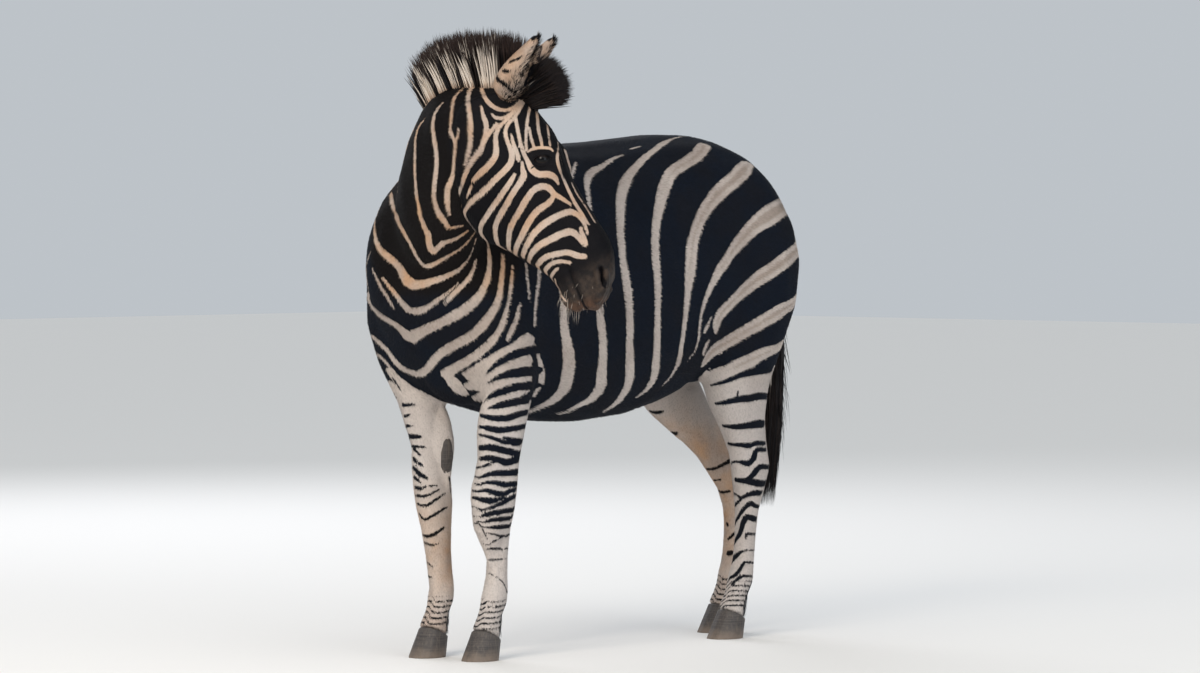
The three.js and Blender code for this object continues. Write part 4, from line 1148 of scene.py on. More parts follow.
# ---- Laying the markings on the skin ------------------------------------------------------------------
NOWHERE = 0.03
# A line isn't joined over a gap longer than this, and a point this far off its surface is still beside it.
GAP = 0.08
OFF_SURFACE = 0.004
# How little of a part still counts as that part, and the least half width of a ring behind the neck.
OWNED = 0.3
RING_LEAST = 0.009
BODY = ["neck", "trunk"] + LEGS
# Flank stripes that start beyond this far across the camera's view run on round the rump, in steps.
RUMP_EDGE = 760
RUN_REACH = 0.36
RUN_STEP = 0.02
BY_THE_TAIL = 0.05
# Which of the neck's stripes ring it, and how far along it the hidden side's own rings lie.
NECK_RINGS = (0, 1, 3, 5, 6, 8)
HIDDEN_RINGS = (0.10, 0.24, 0.37, 0.50, 0.62, 0.74, 0.85, 0.95)
# How far up the ear, and the ear's half width there in millimetres.
EAR_HALVES = ((0, 0.18, 0.36, 0.54, 0.72, 0.88, 1), (31, 37, 40, 38, 30, 17, 9))
# Pixels across the view: the hind edges of the near hind leg and of the near fore leg, how far rings
# that reach the fore legs' fronts end at most, and the rows down the view that this holds for.
HIND_EDGE = 742
FORE_EDGES = (503, 540)
NEAR_FRONT = 494
FAR_FRONT = 436
FRONT_ROWS = (430, 545)
NEAR_KNEE = 465
# How far along the view the far hind leg's front stands from its rings as they were read, by height.
FAR_HIND_HEIGHTS = (394, 406, 432, 457, 478, 494, 509, 560)
FAR_HIND_ASIDE = (-11, -10, 4, 14, 17, 18, 15, 10)
# Where the legs' white begins: on the fore leg's outer and inner side, and on the hind leg's outer side.
FORE_LINE_AT = (533, 345)
FORE_INNER_AT = (455, 385)
HIND_LINE_AT = (747, 361)
HIND_INNER_MORE = 0.10
# How far the border of that white waves up and down on the hidden side.
HIDDEN_WAVE = 0.020
# Half the height of a fine ring of the pasterns, and how far these rings stand apart.
RINGLET_HALF = 0.0024
RINGLET_APART = 0.0130


def beside(line, field, values):
    """Raises a field of the skin's points to how far inside a line's half width each of them lies."""
    if len(line) < 2:
        return
    low = line[:, :3].min(0) - NOWHERE
    high = line[:, :3].max(0) + NOWHERE
    index = np.nonzero(np.all((spots > low) & (spots < high), 1) & field)[0]
    if not len(index):
        return
    near = spots[index]
    best = np.full(len(index), -NOWHERE)
    for a, b in zip(line, line[1:]):
        way = b[:3] - a[:3]
        size = way @ way
        if size < 1e-12 or size > GAP**2:
            continue
        t = np.clip((near - a[:3]) @ way / size, 0, 1)
        aside = near - a[:3] - t[:, None] * way
        deep = np.clip((aside * spot_normals[index]).sum(1), -OFF_SURFACE, OFF_SURFACE)
        off = np.linalg.norm(aside - deep[:, None] * spot_normals[index], axis=1)
        half = a[3] + (b[3] - a[3]) * t
        best = np.maximum(best, half - off)
    values[index] = np.maximum(values[index], best)


# The neck's own places: t is how far along its line, and around is the angle from the crest over the
# right side to the throat and on over the left side.
NECK_STEPS = np.linspace(-0.25, 1.0, 76)


def neck_mid(t):
    return float(np.interp(t, np.linspace(0, 1, 6), NECK_MIDS)) * WITHERS


neck_axis = np.array([neck_line(max(t, 0), neck_mid(t)) + turned(0) * min(t, 0) * NECK_REACH
                      for t in NECK_STEPS])
neck_ways = unit(np.gradient(neck_axis, axis=0))
neck_sides = unit(np.cross(UP, neck_ways))
neck_tops = np.cross(neck_ways, neck_sides)


def nearest_step(places):
    """Which step of the neck's line is nearest to each place."""
    found = [np.argmin(((some[:, None] - neck_axis[None]) ** 2).sum(2), 1)
             for some in np.array_split(places, 12)]
    return np.concatenate(found)


def neck_from(place):
    """How far along the neck a place lies, and at what angle round it."""
    off = place - neck_axis
    ahead = np.abs((off * neck_ways).sum(1)) + 0.15 * np.linalg.norm(off, axis=1)
    k = int(np.argmin(ahead))
    around = math.atan2(-(off[k] @ neck_sides[k]), off[k] @ neck_tops[k])
    return NECK_STEPS[k], around % (2 * math.pi)


def on_neck(t, around):
    """The skin's place at an angle round the neck."""
    middle, side, top = (np.array([np.interp(t, NECK_STEPS, values[:, k]) for k in range(3)])
                         for values in (neck_axis, neck_sides, neck_tops))
    way = top * math.cos(around) - side * math.sin(around)
    place = skin_tree.ray_cast(Vector(middle), Vector(unit(way)))[0]
    return None if place is None else np.array(place)


def round_the_neck(line):
    """Carries a line that rings the neck on from its last point, over the hidden side, to its first."""
    t0, around0 = neck_from(line[0, :3])
    t1, around1 = neck_from(line[-1, :3])
    turn = (around0 - around1) % (2 * math.pi)
    ring = [line[-1]]
    count = max(4, int(turn / 0.12))
    for k in range(1, count):
        u = k / count
        place = on_neck(t1 + (t0 - t1) * u, around1 + turn * u)
        if place is not None:
            half = line[-4:, 3].mean() * (1 - u) + line[:4, 3].mean() * u
            ring.append((*place, max(half, RING_LEAST)))
    ring.append(line[0])
    return np.array(ring)


def other_neck(line):
    """A line on one side of the neck as it lies on the other side."""
    turned_line = []
    for place in line:
        t, around = neck_from(place[:3])
        spot = on_neck(t, -around)
        if spot is not None:
            turned_line.append((*spot, place[3]))
    return np.array(turned_line).reshape(-1, 4)


def owned(parts):
    """Which of the spots belong to these parts."""
    return sum(spot_share[name] for name in parts) > OWNED


def run_on(line):
    """A line whose first end runs on round the rump towards the tail, narrowing to a point."""
    place, way, half = line[0, :3], unit(line[0, :3] - line[2, :3]), line[0, 3]
    added = []
    for k in range(1, int(RUN_REACH / RUN_STEP)):
        ahead = Vector(place + way * RUN_STEP + UP * 0.0015 * math.sin(1.3 * k + 40 * half))
        after = np.array(skin_tree.find_nearest(ahead)[0])
        if abs(body_from(after)[0, 1]) < BY_THE_TAIL:
            break
        way = unit(after - place)
        place = after
        added.append((*place, half * math.sqrt(1 - k * RUN_STEP / RUN_REACH)))
    return np.vstack((added[::-1], line))


# Which points the camera sees, with a soft border.
sight = np.array(CAMERA_AT) - points
facing = (unit(sight) * normals).sum(1)
seen = np.zeros(len(points))
for k in np.nonzero(facing > 0.08)[0]:
    start = Vector(points[k] + normals[k] * 0.002)
    seen[k] = skin_tree.ray_cast(start, Vector(unit(sight[k])))[0] is None
seen = carried(spread(seen, edges, 6))
whites = np.full(len(spots), -NOWHERE)
far_whites = np.full(len(spots), -NOWHERE)
blacks = np.full(len(spots), -NOWHERE)
far_blacks = np.full(len(spots), -NOWHERE)


def lay_white(strokes, parts, field, twin):
    """Lays white stripes on the side that the camera sees, and their twins on the other side."""
    for stroke in strokes:
        line = laid(stroke, parts)
        beside(line, field, whites)
        beside(twin(line), field, far_whites)


on_head = owned(["head"] + EARS)
on_body = owned(BODY + ["tail"])
near_poll = np.linalg.norm(spots - head(0.12), axis=1) < 0.24
lay_white(FACE_WHITES + FACE_DETAIL_WHITES, ["head"], on_head | near_poll, other_cheek)
lay_white(EAR_LOOP_WHITES, ["head", "neck"], on_head | on_body, other_cheek)
for k, stroke in enumerate(NECK_WHITES):
    by_head = k < 5
    line = laid(stroke, ["neck", "trunk"] + (["head"] if by_head else []))
    field = on_body | near_poll if by_head else on_body
    beside(line, field, whites)
    if k in NECK_RINGS:
        beside(round_the_neck(line), field, far_whites)
    elif by_head:
        beside(other_cheek(line), field, far_whites)
    else:
        beside(other_neck(line), field, far_whites)
breast_parts = ["neck", "trunk", "leg_front_left", "leg_front_right"]
lay_white(BREAST_WHITES[:2], breast_parts, on_body, round_the_neck)
lay_white(BREAST_WHITES[2:], breast_parts, on_body, far_side)
for stroke in FLANK_WHITES:
    line = laid(stroke, ["trunk", "leg_hind_left"])
    if stroke[0][0] > RUMP_EDGE:
        line = run_on(line)
    beside(line, on_body, whites)
    beside(far_side(line), on_body, far_whites)
lay_white(LEG_TOP_WHITES, ["trunk", "leg_front_left"], on_body, far_side)
lay_white(FAR_LEG_TOP_WHITES, ["trunk", "leg_front_right"], on_body, far_side)


def lay_black(stroke, parts, other=None, thin=1.0):
    """Lays a black ring, and the same ring on the other side where that has no rings of its own.
    A ring of a near leg runs on over the leg's hind edge."""
    x, y, half = max(stroke)
    if other and (x > HIND_EDGE or FORE_EDGES[0] < x < FORE_EDGES[1]):
        beyond = (x + 9, y, half * 0.8)
        stroke = [beyond] + stroke if stroke[0][0] > stroke[-1][0] else stroke + [beyond]
    line = laid(stroke, parts)
    line[:, 3] *= thin
    beside(line, owned(parts), blacks)
    if other:
        beside(far_side(line), owned(other), far_blacks)


def to_the_front(stroke, edge):
    """A fore leg's ring run on over the leg's front edge, where it ends near that."""
    x, y, half = min(stroke)
    if x > edge or not FRONT_ROWS[0] < y < FRONT_ROWS[1]:
        return stroke
    beyond = (x - 5.5, y - 1, half * 0.7)
    return [beyond] + stroke if stroke[0][0] < stroke[-1][0] else stroke + [beyond]


for stroke in BELLY_BLACKS:
    lay_black(stroke, ["trunk"])
for stroke in FORELEG_BLACKS:
    stroke = to_the_front(stroke, NEAR_FRONT)
    thin = 0.86 if stroke[0][1] > NEAR_KNEE else 1.0
    lay_black(stroke, ["leg_front_left", "trunk"], ["leg_front_right", "trunk"], thin)
for stroke in FAR_FORELEG_BLACKS:
    stroke = to_the_front([(x + 1.5, y, half * 1.1) for x, y, half in stroke], FAR_FRONT)
    lay_black(stroke, ["leg_front_right", "trunk"])
for stroke in HINDLEG_BLACKS:
    lay_black(stroke, ["leg_hind_left", "trunk"], ["leg_hind_right", "trunk"])
for stroke in FAR_HINDLEG_BLACKS:
    lay_black([(x + np.interp(y, FAR_HIND_HEIGHTS, FAR_HIND_ASIDE), y, half * 1.1) for x, y, half in stroke],
              ["leg_hind_right"])
for stroke in EAR_BLACKS:
    line = laid(stroke, ["head"] + EARS)
    beside(line, on_head, blacks)
    beside(other_cheek(line), on_head, far_blacks)

# The legs are white below lines of their own, which stand higher on their inner sides.
flat = body_from(spots)
fore, left, up = flat.T
hand = np.sign(left)
outward = (spot_normals * asides_at(fore)).sum(1) * hand
inner = between(-outward, -0.25, 0.35)
fore_line = on_skin(*FORE_LINE_AT, ["leg_front_left", "trunk"])[2]
fore_inner = on_skin(*FORE_INNER_AT, ["leg_front_left", "trunk"])[2]
hind_line = on_skin(*HIND_LINE_AT, ["leg_hind_left", "trunk"])[2]
hind_inner = hind_line + HIND_INNER_MORE
front = fore > 0
line_up = np.where(front, fore_line + (fore_inner - fore_line) * inner,
                   hind_line + (hind_inner - hind_line) * inner)
in_sight = between(seen, 0.15, 0.7)
line_up += (1 - in_sight) * HIDDEN_WAVE * np.sin(17 * fore + 31 * left + 2)
leg_share = sum(spot_share[name] for name in LEGS)
base = np.clip(line_up - up, -NOWHERE, NOWHERE) - NOWHERE * (1 - between(leg_share, 0.05, 0.45)) * 2

# The pasterns have fine rings, and the backs of the fetlocks are dark.
behind_leg = -(spot_normals * forwards_at(fore)).sum(1)
waved = up + 0.012 * inner + 0.004 * np.sin(31 * spots[:, 0] + 47 * spots[:, 1])
ringlet = RINGLET_HALF - np.abs(waved / RINGLET_APART % 1 - 0.5) * RINGLET_APART
ringlet -= 0.02 * (1 - between(up, 0.072, 0.082) * between(-up, -0.190, -0.145))
dark_back = (between(behind_leg, 0.05, 0.65) * between(-up, -0.185, -0.110) - 0.5) * 0.012
of_a_leg = leg_share > 0.5
blacks = np.where(of_a_leg, np.maximum(blacks, np.maximum(ringlet, dark_back)), blacks)

# The hidden side of the neck has rings of its own where none is carried round to it.
of_neck = spot_share["neck"] > 0.35
step_of = np.zeros(len(spots), int)
step_of[of_neck] = nearest_step(spots[of_neck])
t_of = NECK_STEPS[step_of] + 0.02 * np.sin(19 * spots[:, 2]) + 0.012 * np.sin(37 * spots[:, 2] + 11)
rings = np.full(len(spots), -NOWHERE)
for middle in HIDDEN_RINGS:
    rings = np.maximum(rings, 0.0105 - np.abs(t_of - middle) * NECK_REACH)
rings = np.where(of_neck & (far_whites < -0.016), rings, -NOWHERE)
far_whites = np.maximum(far_whites, rings - 0.01 * (far_whites > -0.022))

# The backs of the ears are white. Their hollows are painted dark, as the shade inside them, with pale hair
# inside the rims.
ear_back = np.full(len(spots), -NOWHERE)
for name, hand_of_ear in (("ear_left", 1), ("ear_right", -1)):
    root, along, opening = ear_ways(hand_of_ear)
    behind = -(spot_normals @ opening)
    far_up = (spots - root) @ along / EAR_LONG
    ear_half = 0.001 * np.interp(far_up, *EAR_HALVES)
    aside_of_ear = np.abs((spots - root) @ np.cross(along, opening)) / ear_half
    of_ear = np.minimum(spot_share[name] * 2 - 0.7, 1) * 0.02
    pale_hair = chance.random(len(spots)) < 0.20 + 0.55 * between(aside_of_ear, 0.35, 0.95)
    # Inside the hollow the coat is painted black for the shade there, except for the pale hairs.
    value = np.where((behind > -0.10) | pale_hair, of_ear, np.minimum(of_ear, -0.004))
    value = np.where(between(far_up, 0.86, 0.90) * between(-far_up, -0.97, -0.95) > 0.5, -0.004, value)
    ear_back = np.maximum(ear_back, np.where(spot_share[name] > 0.3, value, -NOWHERE))

# The twins of the stripes show only where the camera doesn't see.
put_away = NOWHERE * in_sight
white = np.maximum(np.maximum(base, whites), np.maximum(ear_back, far_whites - put_away))
black = np.maximum(blacks, far_blacks - put_away)
mark = np.clip(np.minimum(white, -black), -NOWHERE, NOWHERE)

# How dark and bare the muzzle is, how warm the coat is, and how finely its markings end. The warmth of the
# head and neck is partly a real tint and partly painted warm sunlight. That of the low legs, strongest on the
# right ones, is painted warm sunlight.
down, out, _ = head_from(spots).T
of_head = np.clip(spot_share["head"] + sum(spot_share[name] for name in EARS), 0, 1)
muzzle = between(down + 0.10 * (out + 0.1), 0.78, 0.90) * of_head
# The nostrils and the slit of the mouth are painted darker, as shade in these openings.
for stroke in NOSTRIL_DARKS:
    line = laid(stroke, ["head"])
    for side_line in (line, other_cheek(line)):
        shade = np.full(len(spots), -NOWHERE)
        beside(side_line, on_head, shade)
        muzzle *= 1 - between(shade, -0.002, 0.001)
warm_tint_and_sunlight = np.clip(0.75 * of_head + spot_share["neck"], 0, 1)
# The low legs get painted warm sunlight, strong on the right legs and faint on the left ones.
sunlit_low_leg = np.where(front, between(-up, -0.52, -0.30), between(-up, -0.68, -0.48))
sunlit_low_leg *= 0.5 + 0.5 * between(up, 0.10, 0.26)
warm_tint_and_sunlight = np.maximum(warm_tint_and_sunlight, leg_share * sunlit_low_leg * np.where(left < 0, 0.95, 0.12))
fine = np.clip(of_head + leg_share, 0, 1)
tone = np.stack((muzzle, warm_tint_and_sunlight, fine), 1)
lip = between(down + 0.25 * (-0.05 - out), 0.935, 0.985) * of_head


def on_skin_only(values):
    return values[:len(points)]


set_value(skin.data, "mark", on_skin_only(mark))
set_value(skin.data, "tone", on_skin_only(tone))
set_value(skin.data, "lip", on_skin_only(lip))
set_value(skin.data, "strand", np.tile((0.5, 0.4, 0.0), (len(points), 1)))


# ---- Materials ----------------------------------------------------------------------------------------
class Wire:
    """A socket of a material's nodes, so that shader maths reads as plain expressions."""

    def __init__(self, finish, socket):
        self.finish = finish
        self.socket = socket

    def maths(self, operation, *inputs):
        return self.finish.node("ShaderNodeMath", {"operation": operation}, dict(enumerate(inputs)))

    def __add__(self, other):
        return self.maths("ADD", self, other)

    __radd__ = __add__

    def __sub__(self, other):
        return self.maths("SUBTRACT", self, other)

    def __rsub__(self, other):
        return self.maths("SUBTRACT", other, self)

    def __mul__(self, other):
        return self.maths("MULTIPLY", self, other)

    __rmul__ = __mul__

    def rise(self, low, high):
        """0 below low, 1 above high, and a smooth rise from one to the other."""
        return self.finish.node("ShaderNodeMapRange", {"interpolation_type": "SMOOTHSTEP"}, {
            "Value": self, "From Min": low, "From Max": high})


class Finish:
    """One material, and the ways its nodes are added and joined."""

    def __init__(self, name):
        self.material = bpy.data.materials.new(name)
        self.material.use_nodes = True
        self.tree = self.material.node_tree
        self.shader = self.tree.nodes["Principled BSDF"]

    def node(self, kind, settings, inputs, output=0):
        made = self.tree.nodes.new(kind)
        for key, value in settings.items():
            setattr(made, key, value)
        for key, value in inputs.items():
            self.join(made.inputs[key], value)
        return Wire(self, made.outputs[output])

    def join(self, socket, value):
        if isinstance(value, Wire):
            self.tree.links.new(value.socket, socket)
        elif socket.type == "RGBA":
            socket.default_value = (*value, 1.0)
        else:
            socket.default_value = value

    def set(self, **inputs):
        for key, value in inputs.items():
            self.join(self.shader.inputs[key.replace("_", " ")], value)

    def value(self, name):
        return self.node("ShaderNodeAttribute", {"attribute_name": name}, {}, "Fac")

    def vector(self, name):
        return self.node("ShaderNodeAttribute", {"attribute_name": name}, {}, "Vector")

    def split(self, vector):
        """The three parts of a vector, each as a wire."""
        parts = self.node("ShaderNodeSeparateXYZ", {}, {"Vector": vector}).socket.node
        return [Wire(self, socket) for socket in parts.outputs]

    def place(self):
        return self.node("ShaderNodeTexCoord", {}, {}, "Object")

    def noise(self, scale, at, detail=2.0):
        return self.node("ShaderNodeTexNoise", {}, {"Vector": at, "Scale": scale, "Detail": detail})

    def mix(self, share, first, second):
        made = self.tree.nodes.new("ShaderNodeMix")
        made.data_type = "RGBA"
        made.clamp_factor = True
        self.join(made.inputs["Factor"], share)
        self.join(made.inputs[6], first)
        self.join(made.inputs[7], second)
        return Wire(self, made.outputs[2])

    def stretched(self, at, scale):
        return self.node("ShaderNodeMapping", {}, {"Vector": at, "Scale": scale})

    def bump(self, height, strength, distance):
        return self.node("ShaderNodeBump", {}, {
            "Height": height, "Strength": strength, "Distance": distance})


def coat_finish(name):
    finish = Finish(name)
    at = finish.place()
    mark = finish.value("mark")
    muzzle, warm_tint_and_sunlight, fine = finish.split(finish.vector("tone"))
    lip = finish.value("lip")
    random, along, hair = finish.split(finish.vector("strand"))
    fray = finish.noise(420.0, at, 2.0) - 0.5
    wander = finish.noise(45.0, at, 1.0) - 0.5
    loose = 1.0 - fine * 0.65
    light = (mark + (fray * 0.0030 + wander * 0.0026 + (random - 0.5) * 0.0006) * loose).rise(-0.0009, 0.0009)
    patch = finish.noise(9.0, at, 3.0).rise(0.35, 0.65)
    x, _, z = finish.split(at)
    # The cream has a cool copy and a warm copy. The warm one is partly a real tint and partly painted warm
    # sunlight, in patches.
    cool_cream = finish.mix(patch, (0.56, 0.49, 0.44), (0.46, 0.39, 0.345))
    tinted_and_sunlit_cream = finish.mix(patch, (0.62, 0.45, 0.33), (0.56, 0.345, 0.205))
    sunned = finish.noise(17.0, at, 2.0).rise(0.30, 0.72)
    cream = finish.mix(warm_tint_and_sunlight * (0.30 + 0.70 * sunned), cool_cream, tinted_and_sunlit_cream)
    rump = x.rise(0.05, 0.30) * z.rise(0.60, 0.75)
    shadow = (mark + wander * 0.006).rise(0.010, 0.018) * rump
    cream = finish.mix(shadow * 0.65, cream, (0.30, 0.235, 0.19))
    paler = (1.0 - z.rise(0.55, 0.80)) * (1.0 - warm_tint_and_sunlight)
    cream = finish.mix(paler * 0.7, cream, (0.66, 0.61, 0.58))
    # The black is bluish, painted cool skylight, where the coat isn't warm, and brownish where it is warm.
    black = finish.mix(warm_tint_and_sunlight, (0.0022, 0.0056, 0.0135), (0.0042, 0.0030, 0.0030))
    black = finish.mix(patch * 0.35, black, (0.0080, 0.0062, 0.0065))
    mottle = finish.noise(60.0, at, 3.0).rise(0.35, 0.65)
    bare = finish.mix(mottle, (0.056, 0.040, 0.031), (0.022, 0.018, 0.017))
    lips = finish.noise(38.0, at, 2.0).rise(0.30, 0.60) * lip
    bare = finish.mix(lips * 0.85, bare, (0.115, 0.062, 0.040))
    black = finish.mix(muzzle, black, bare)
    colour = finish.mix(light, black, cream)
    # Each tuft is darker at its root and lighter towards its tip, a painted sheen on the tips, and has a
    # random tone of its own. The skin under the tufts is a little darker.
    shade = (along * 0.30 + random * 0.42 + 0.55) * hair + (1.0 - hair) * 0.9
    colour = finish.mix(shade, (0.0, 0.0, 0.0), colour)
    finish.set(Base_Color=colour, Roughness=0.74 - muzzle * 0.2, Specular_IOR_Level=0.14)
    height = finish.noise(900.0, at, 2.0)
    finish.set(Normal=finish.bump(height, 0.35, 0.0006))
    return finish


coat = coat_finish("striped coat")
skin.data.materials.append(coat.material)


def eye_finish():
    finish = Finish("wet eye")
    along, high = finish.value("along"), finish.value("high")
    pupil = ((along * 1.5) * (along * 1.5) + (high * 3.4) * (high * 3.4)).rise(0.9, 1.2)
    rim = (along * along + high * high).rise(0.25, 0.55)
    iris = finish.mix(rim, (0.008, 0.004, 0.003), (0.003, 0.002, 0.002))
    finish.set(Base_Color=finish.mix(pupil, (0.001, 0.001, 0.0015), iris), Roughness=0.08,
               Specular_IOR_Level=0.20)
    return finish.material


def hair_finish():
    finish = Finish("long hair")
    mark = finish.value("mark")
    _, warm_tint_and_sunlight, _ = finish.split(finish.vector("tone"))
    random, along, _ = finish.split(finish.vector("strand"))
    tip = (along + (random - 0.5) * 0.34).rise(0.56, 0.84)
    light = mark.rise(-0.0006, 0.0006) * (1.0 - tip)
    pale = finish.mix(along.rise(0.0, 0.35), (0.60, 0.42, 0.30), (0.66, 0.59, 0.52))
    dark = finish.mix(random, (0.004, 0.004, 0.006), (0.014, 0.008, 0.006))
    # Dark locks turn brownish at their tips by the same warmth, partly a real tint and partly painted warm
    # sunlight.
    dark = finish.mix(along.rise(0.6, 1.0) * warm_tint_and_sunlight * 0.6, dark, (0.034, 0.017, 0.012))
    finish.set(Base_Color=finish.mix(light, dark, pale), Roughness=0.60, Specular_IOR_Level=0.22)
    return finish


def horn_finish():
    finish = Finish("hoof horn")
    at = finish.place()
    _, _, z = finish.split(at)
    ring = finish.noise(1.0, finish.stretched(at, (14.0, 14.0, 420.0)), 2.0)
    streak = finish.noise(1.0, finish.stretched(at, (300.0, 300.0, 16.0)), 2.0)
    dust = (z + finish.noise(60.0, at, 3.0) * 0.03).rise(0.010, 0.050)
    colour = finish.mix(ring.rise(0.35, 0.65), (0.034, 0.029, 0.028), (0.066, 0.057, 0.052))
    colour = finish.mix(streak.rise(0.45, 0.75) * 0.5, colour, (0.13, 0.105, 0.085))
    finish.set(Base_Color=finish.mix(dust, (0.17, 0.13, 0.10), colour), Roughness=0.48 + ring * 0.2)
    finish.set(Normal=finish.bump(ring * 0.7 + streak * 0.3, 0.6, 0.0012))
    return finish


hair = hair_finish()
horn = horn_finish()
wet_eye = eye_finish()
for ball in eyeballs:
    ball.data.materials.append(wet_eye)


# ---- The coat's tufts ---------------------------------------------------------------------------------
# How much longer the coat is under the belly, along the jaw, behind the fetlocks, over the hooves and in
# the ears, and how much shorter it is on the muzzle and round the eyes.
BELLY_MORE = 0.9
JAW_MORE = 0.8
FETLOCK_MORE = 1.6
CORONET_MORE = 0.5
EAR_MORE = 1.9
MUZZLE_LESS = 0.5
EYE_LESS = 0.45
# How many degrees a tuft stands off the skin: all of them, by chance, and long ones more.
LIFT_LEAST = 7.0
LIFT_RANDOM = 6.0
LIFT_LONG = 8.0
# Where along a tuft its widest place is, how deep it is rooted, and how far its end clears the skin.
TUFT_MIDDLE = 0.42
TUFT_DEEP = 0.0007
TUFT_CLEAR = 0.0006
BAKE_PATCH = 0.003
BAKE_EDGES = (0.003, 0.997)
# The legs' charts: how tall each level round a leg is, how many there are, and how high they all reach.
LEVEL = 0.02
LEVELS = 61
CHART_TOP = 0.80


def bake_places(uv, patch):
    """A small patch of the bake map for each root: its own uv place, and the patch's corners round it."""
    return (np.clip(uv, *BAKE_EDGES)[:, None] + patch).reshape(-1, 2)


def piece_of(name, places, triangles, uv, values, material):
    """A new piece from points and triangles, with its own bake map and the values that its material reads."""
    mesh = bpy.data.meshes.new(name)
    mesh.vertices.add(len(places))
    mesh.vertices.foreach_set("co", places.astype(np.float32).ravel())
    mesh.loops.add(triangles.size)
    mesh.loops.foreach_set("vertex_index", triangles.astype(np.int32).ravel())
    mesh.polygons.add(len(triangles))
    mesh.polygons.foreach_set("loop_start", np.arange(0, triangles.size, 3, dtype=np.int32))
    mesh.polygons.foreach_set("use_smooth", np.ones(len(triangles), bool))
    mesh.update(calc_edges=True)
    layer = mesh.uv_layers.new(name="OFBake")
    layer.data.foreach_set("uv", uv[triangles.ravel()].astype(np.float32).ravel())
    for key, value in values.items():
        set_value(mesh, key, value)
    made = bpy.data.objects.new(name, mesh)
    link(made)
    made.data.materials.append(material)
    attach(made, "root")
    return made


def lie_of(places, ways_out, part):
    """The way that the coat lies at each place, along the skin."""
    fore, _, up = body_from(places).T
    ahead = forwards_at(fore)
    down, out, side = head_from(places).T
    k = nearest_step(places)
    ways = {
        "trunk": -ahead - UP * 0.45,
        "neck": -neck_ways[k] - UP * 0.30,
        "leg": -UP - ahead * 0.15,
        "tail": -UP - ahead * 0.45 * between(up, 0.80, 0.95)[:, None],
        "head": (face_axis * (between(down, 0.16, 0.30) * 2 - 1)[:, None]
                 - face_out * (0.75 * between(-out, 0.10, 0.24))[:, None]
                 + face_left * (0.5 * np.sign(side) * between(-down, -0.45, -0.25))[:, None]),
    }
    lie = np.zeros_like(places)
    for index, name in enumerate(FLESH):
        weight = part[:, index, None]
        if name in EARS:
            lie += weight * ear_ways(1 if name == "ear_left" else -1)[1]
        else:
            lie += weight * ways[kind_of(name)]
    lie -= (lie * ways_out).sum(1)[:, None] * ways_out
    return unit(lie)


def swirl(places):
    """A slow wander of the lie of the coat, in radians."""
    x, y, z = places.T
    return 0.16 * (np.sin(23 * x + 9 * z) + np.sin(19 * y - 17 * z) + np.sin(41 * z + 13 * x - 29 * y))


root_place = spots[len(points):]
root_out = spot_normals[len(points):]
root_mark = mark[len(points):]
root_tone = tone[len(points):]
root_lip = lip[len(points):]
parts_at_roots = np.stack([spot_share[name][len(points):] for name in FLESH], 1)
parts_at_roots /= parts_at_roots.sum(1, keepdims=True)


def root_share(name):
    return parts_at_roots[:, FLESH.index(name)]


root_lie = lie_of(root_place, root_out, parts_at_roots)
turn = swirl(root_place) + chance.normal(size=len(root_place)) * 0.16
root_side = np.cross(root_out, root_lie)
root_lie = root_lie * np.cos(turn)[:, None] + root_side * np.sin(turn)[:, None]
root_side = np.cross(root_out, root_lie)

root_long = at_roots(by_part(LENGTH))
root_wide = at_roots(by_part(WIDE))
fore, left, up = body_from(root_place).T
down, out, side_of_face = head_from(root_place).T
behind = -(root_out * forwards_at(fore)).sum(1)
of_leg = sum(root_share(name) for name in LEGS)
of_head = root_share("head")
of_trunk = root_share("trunk")
longer = 1 + BELLY_MORE * of_trunk * between(-root_out[:, 2], 0.80, 0.97)
longer += JAW_MORE * of_head * between(-out, 0.19, 0.27) * between(-down, -0.75, -0.60)
longer += FETLOCK_MORE * of_leg * between(-up, -0.125, -0.095) * between(behind, 0.2, 0.7)
longer += CORONET_MORE * of_leg * between(-up, -0.085, -0.070)
longer *= 1 - MUZZLE_LESS * root_tone[:, 0]
off_eyes = np.minimum(from_eye(root_place, 1), from_eye(root_place, -1))
longer *= 1 - EYE_LESS * between(-off_eyes, -0.050, -0.030)
for hand in (1, -1):
    opening = ear_ways(hand)[2]
    of_ear = root_share("ear_left" if hand > 0 else "ear_right")
    longer += EAR_MORE * of_ear * between(root_out @ opening, -0.35, 0.25)
root_long = root_long * longer * (0.8 + 0.4 * chance.random(len(root_place)))
lift = LIFT_LEAST + LIFT_RANDOM * chance.random(len(root_place)) + LIFT_LONG * between(longer, 1.3, 2.2)
lift = np.radians(lift)
root_random = chance.random(len(root_place))
# Each tuft starts a little behind the place that its marking is read at. On the ears it starts at it.
root_back = 0.34 * (1 - sum(root_share(name) for name in EARS))


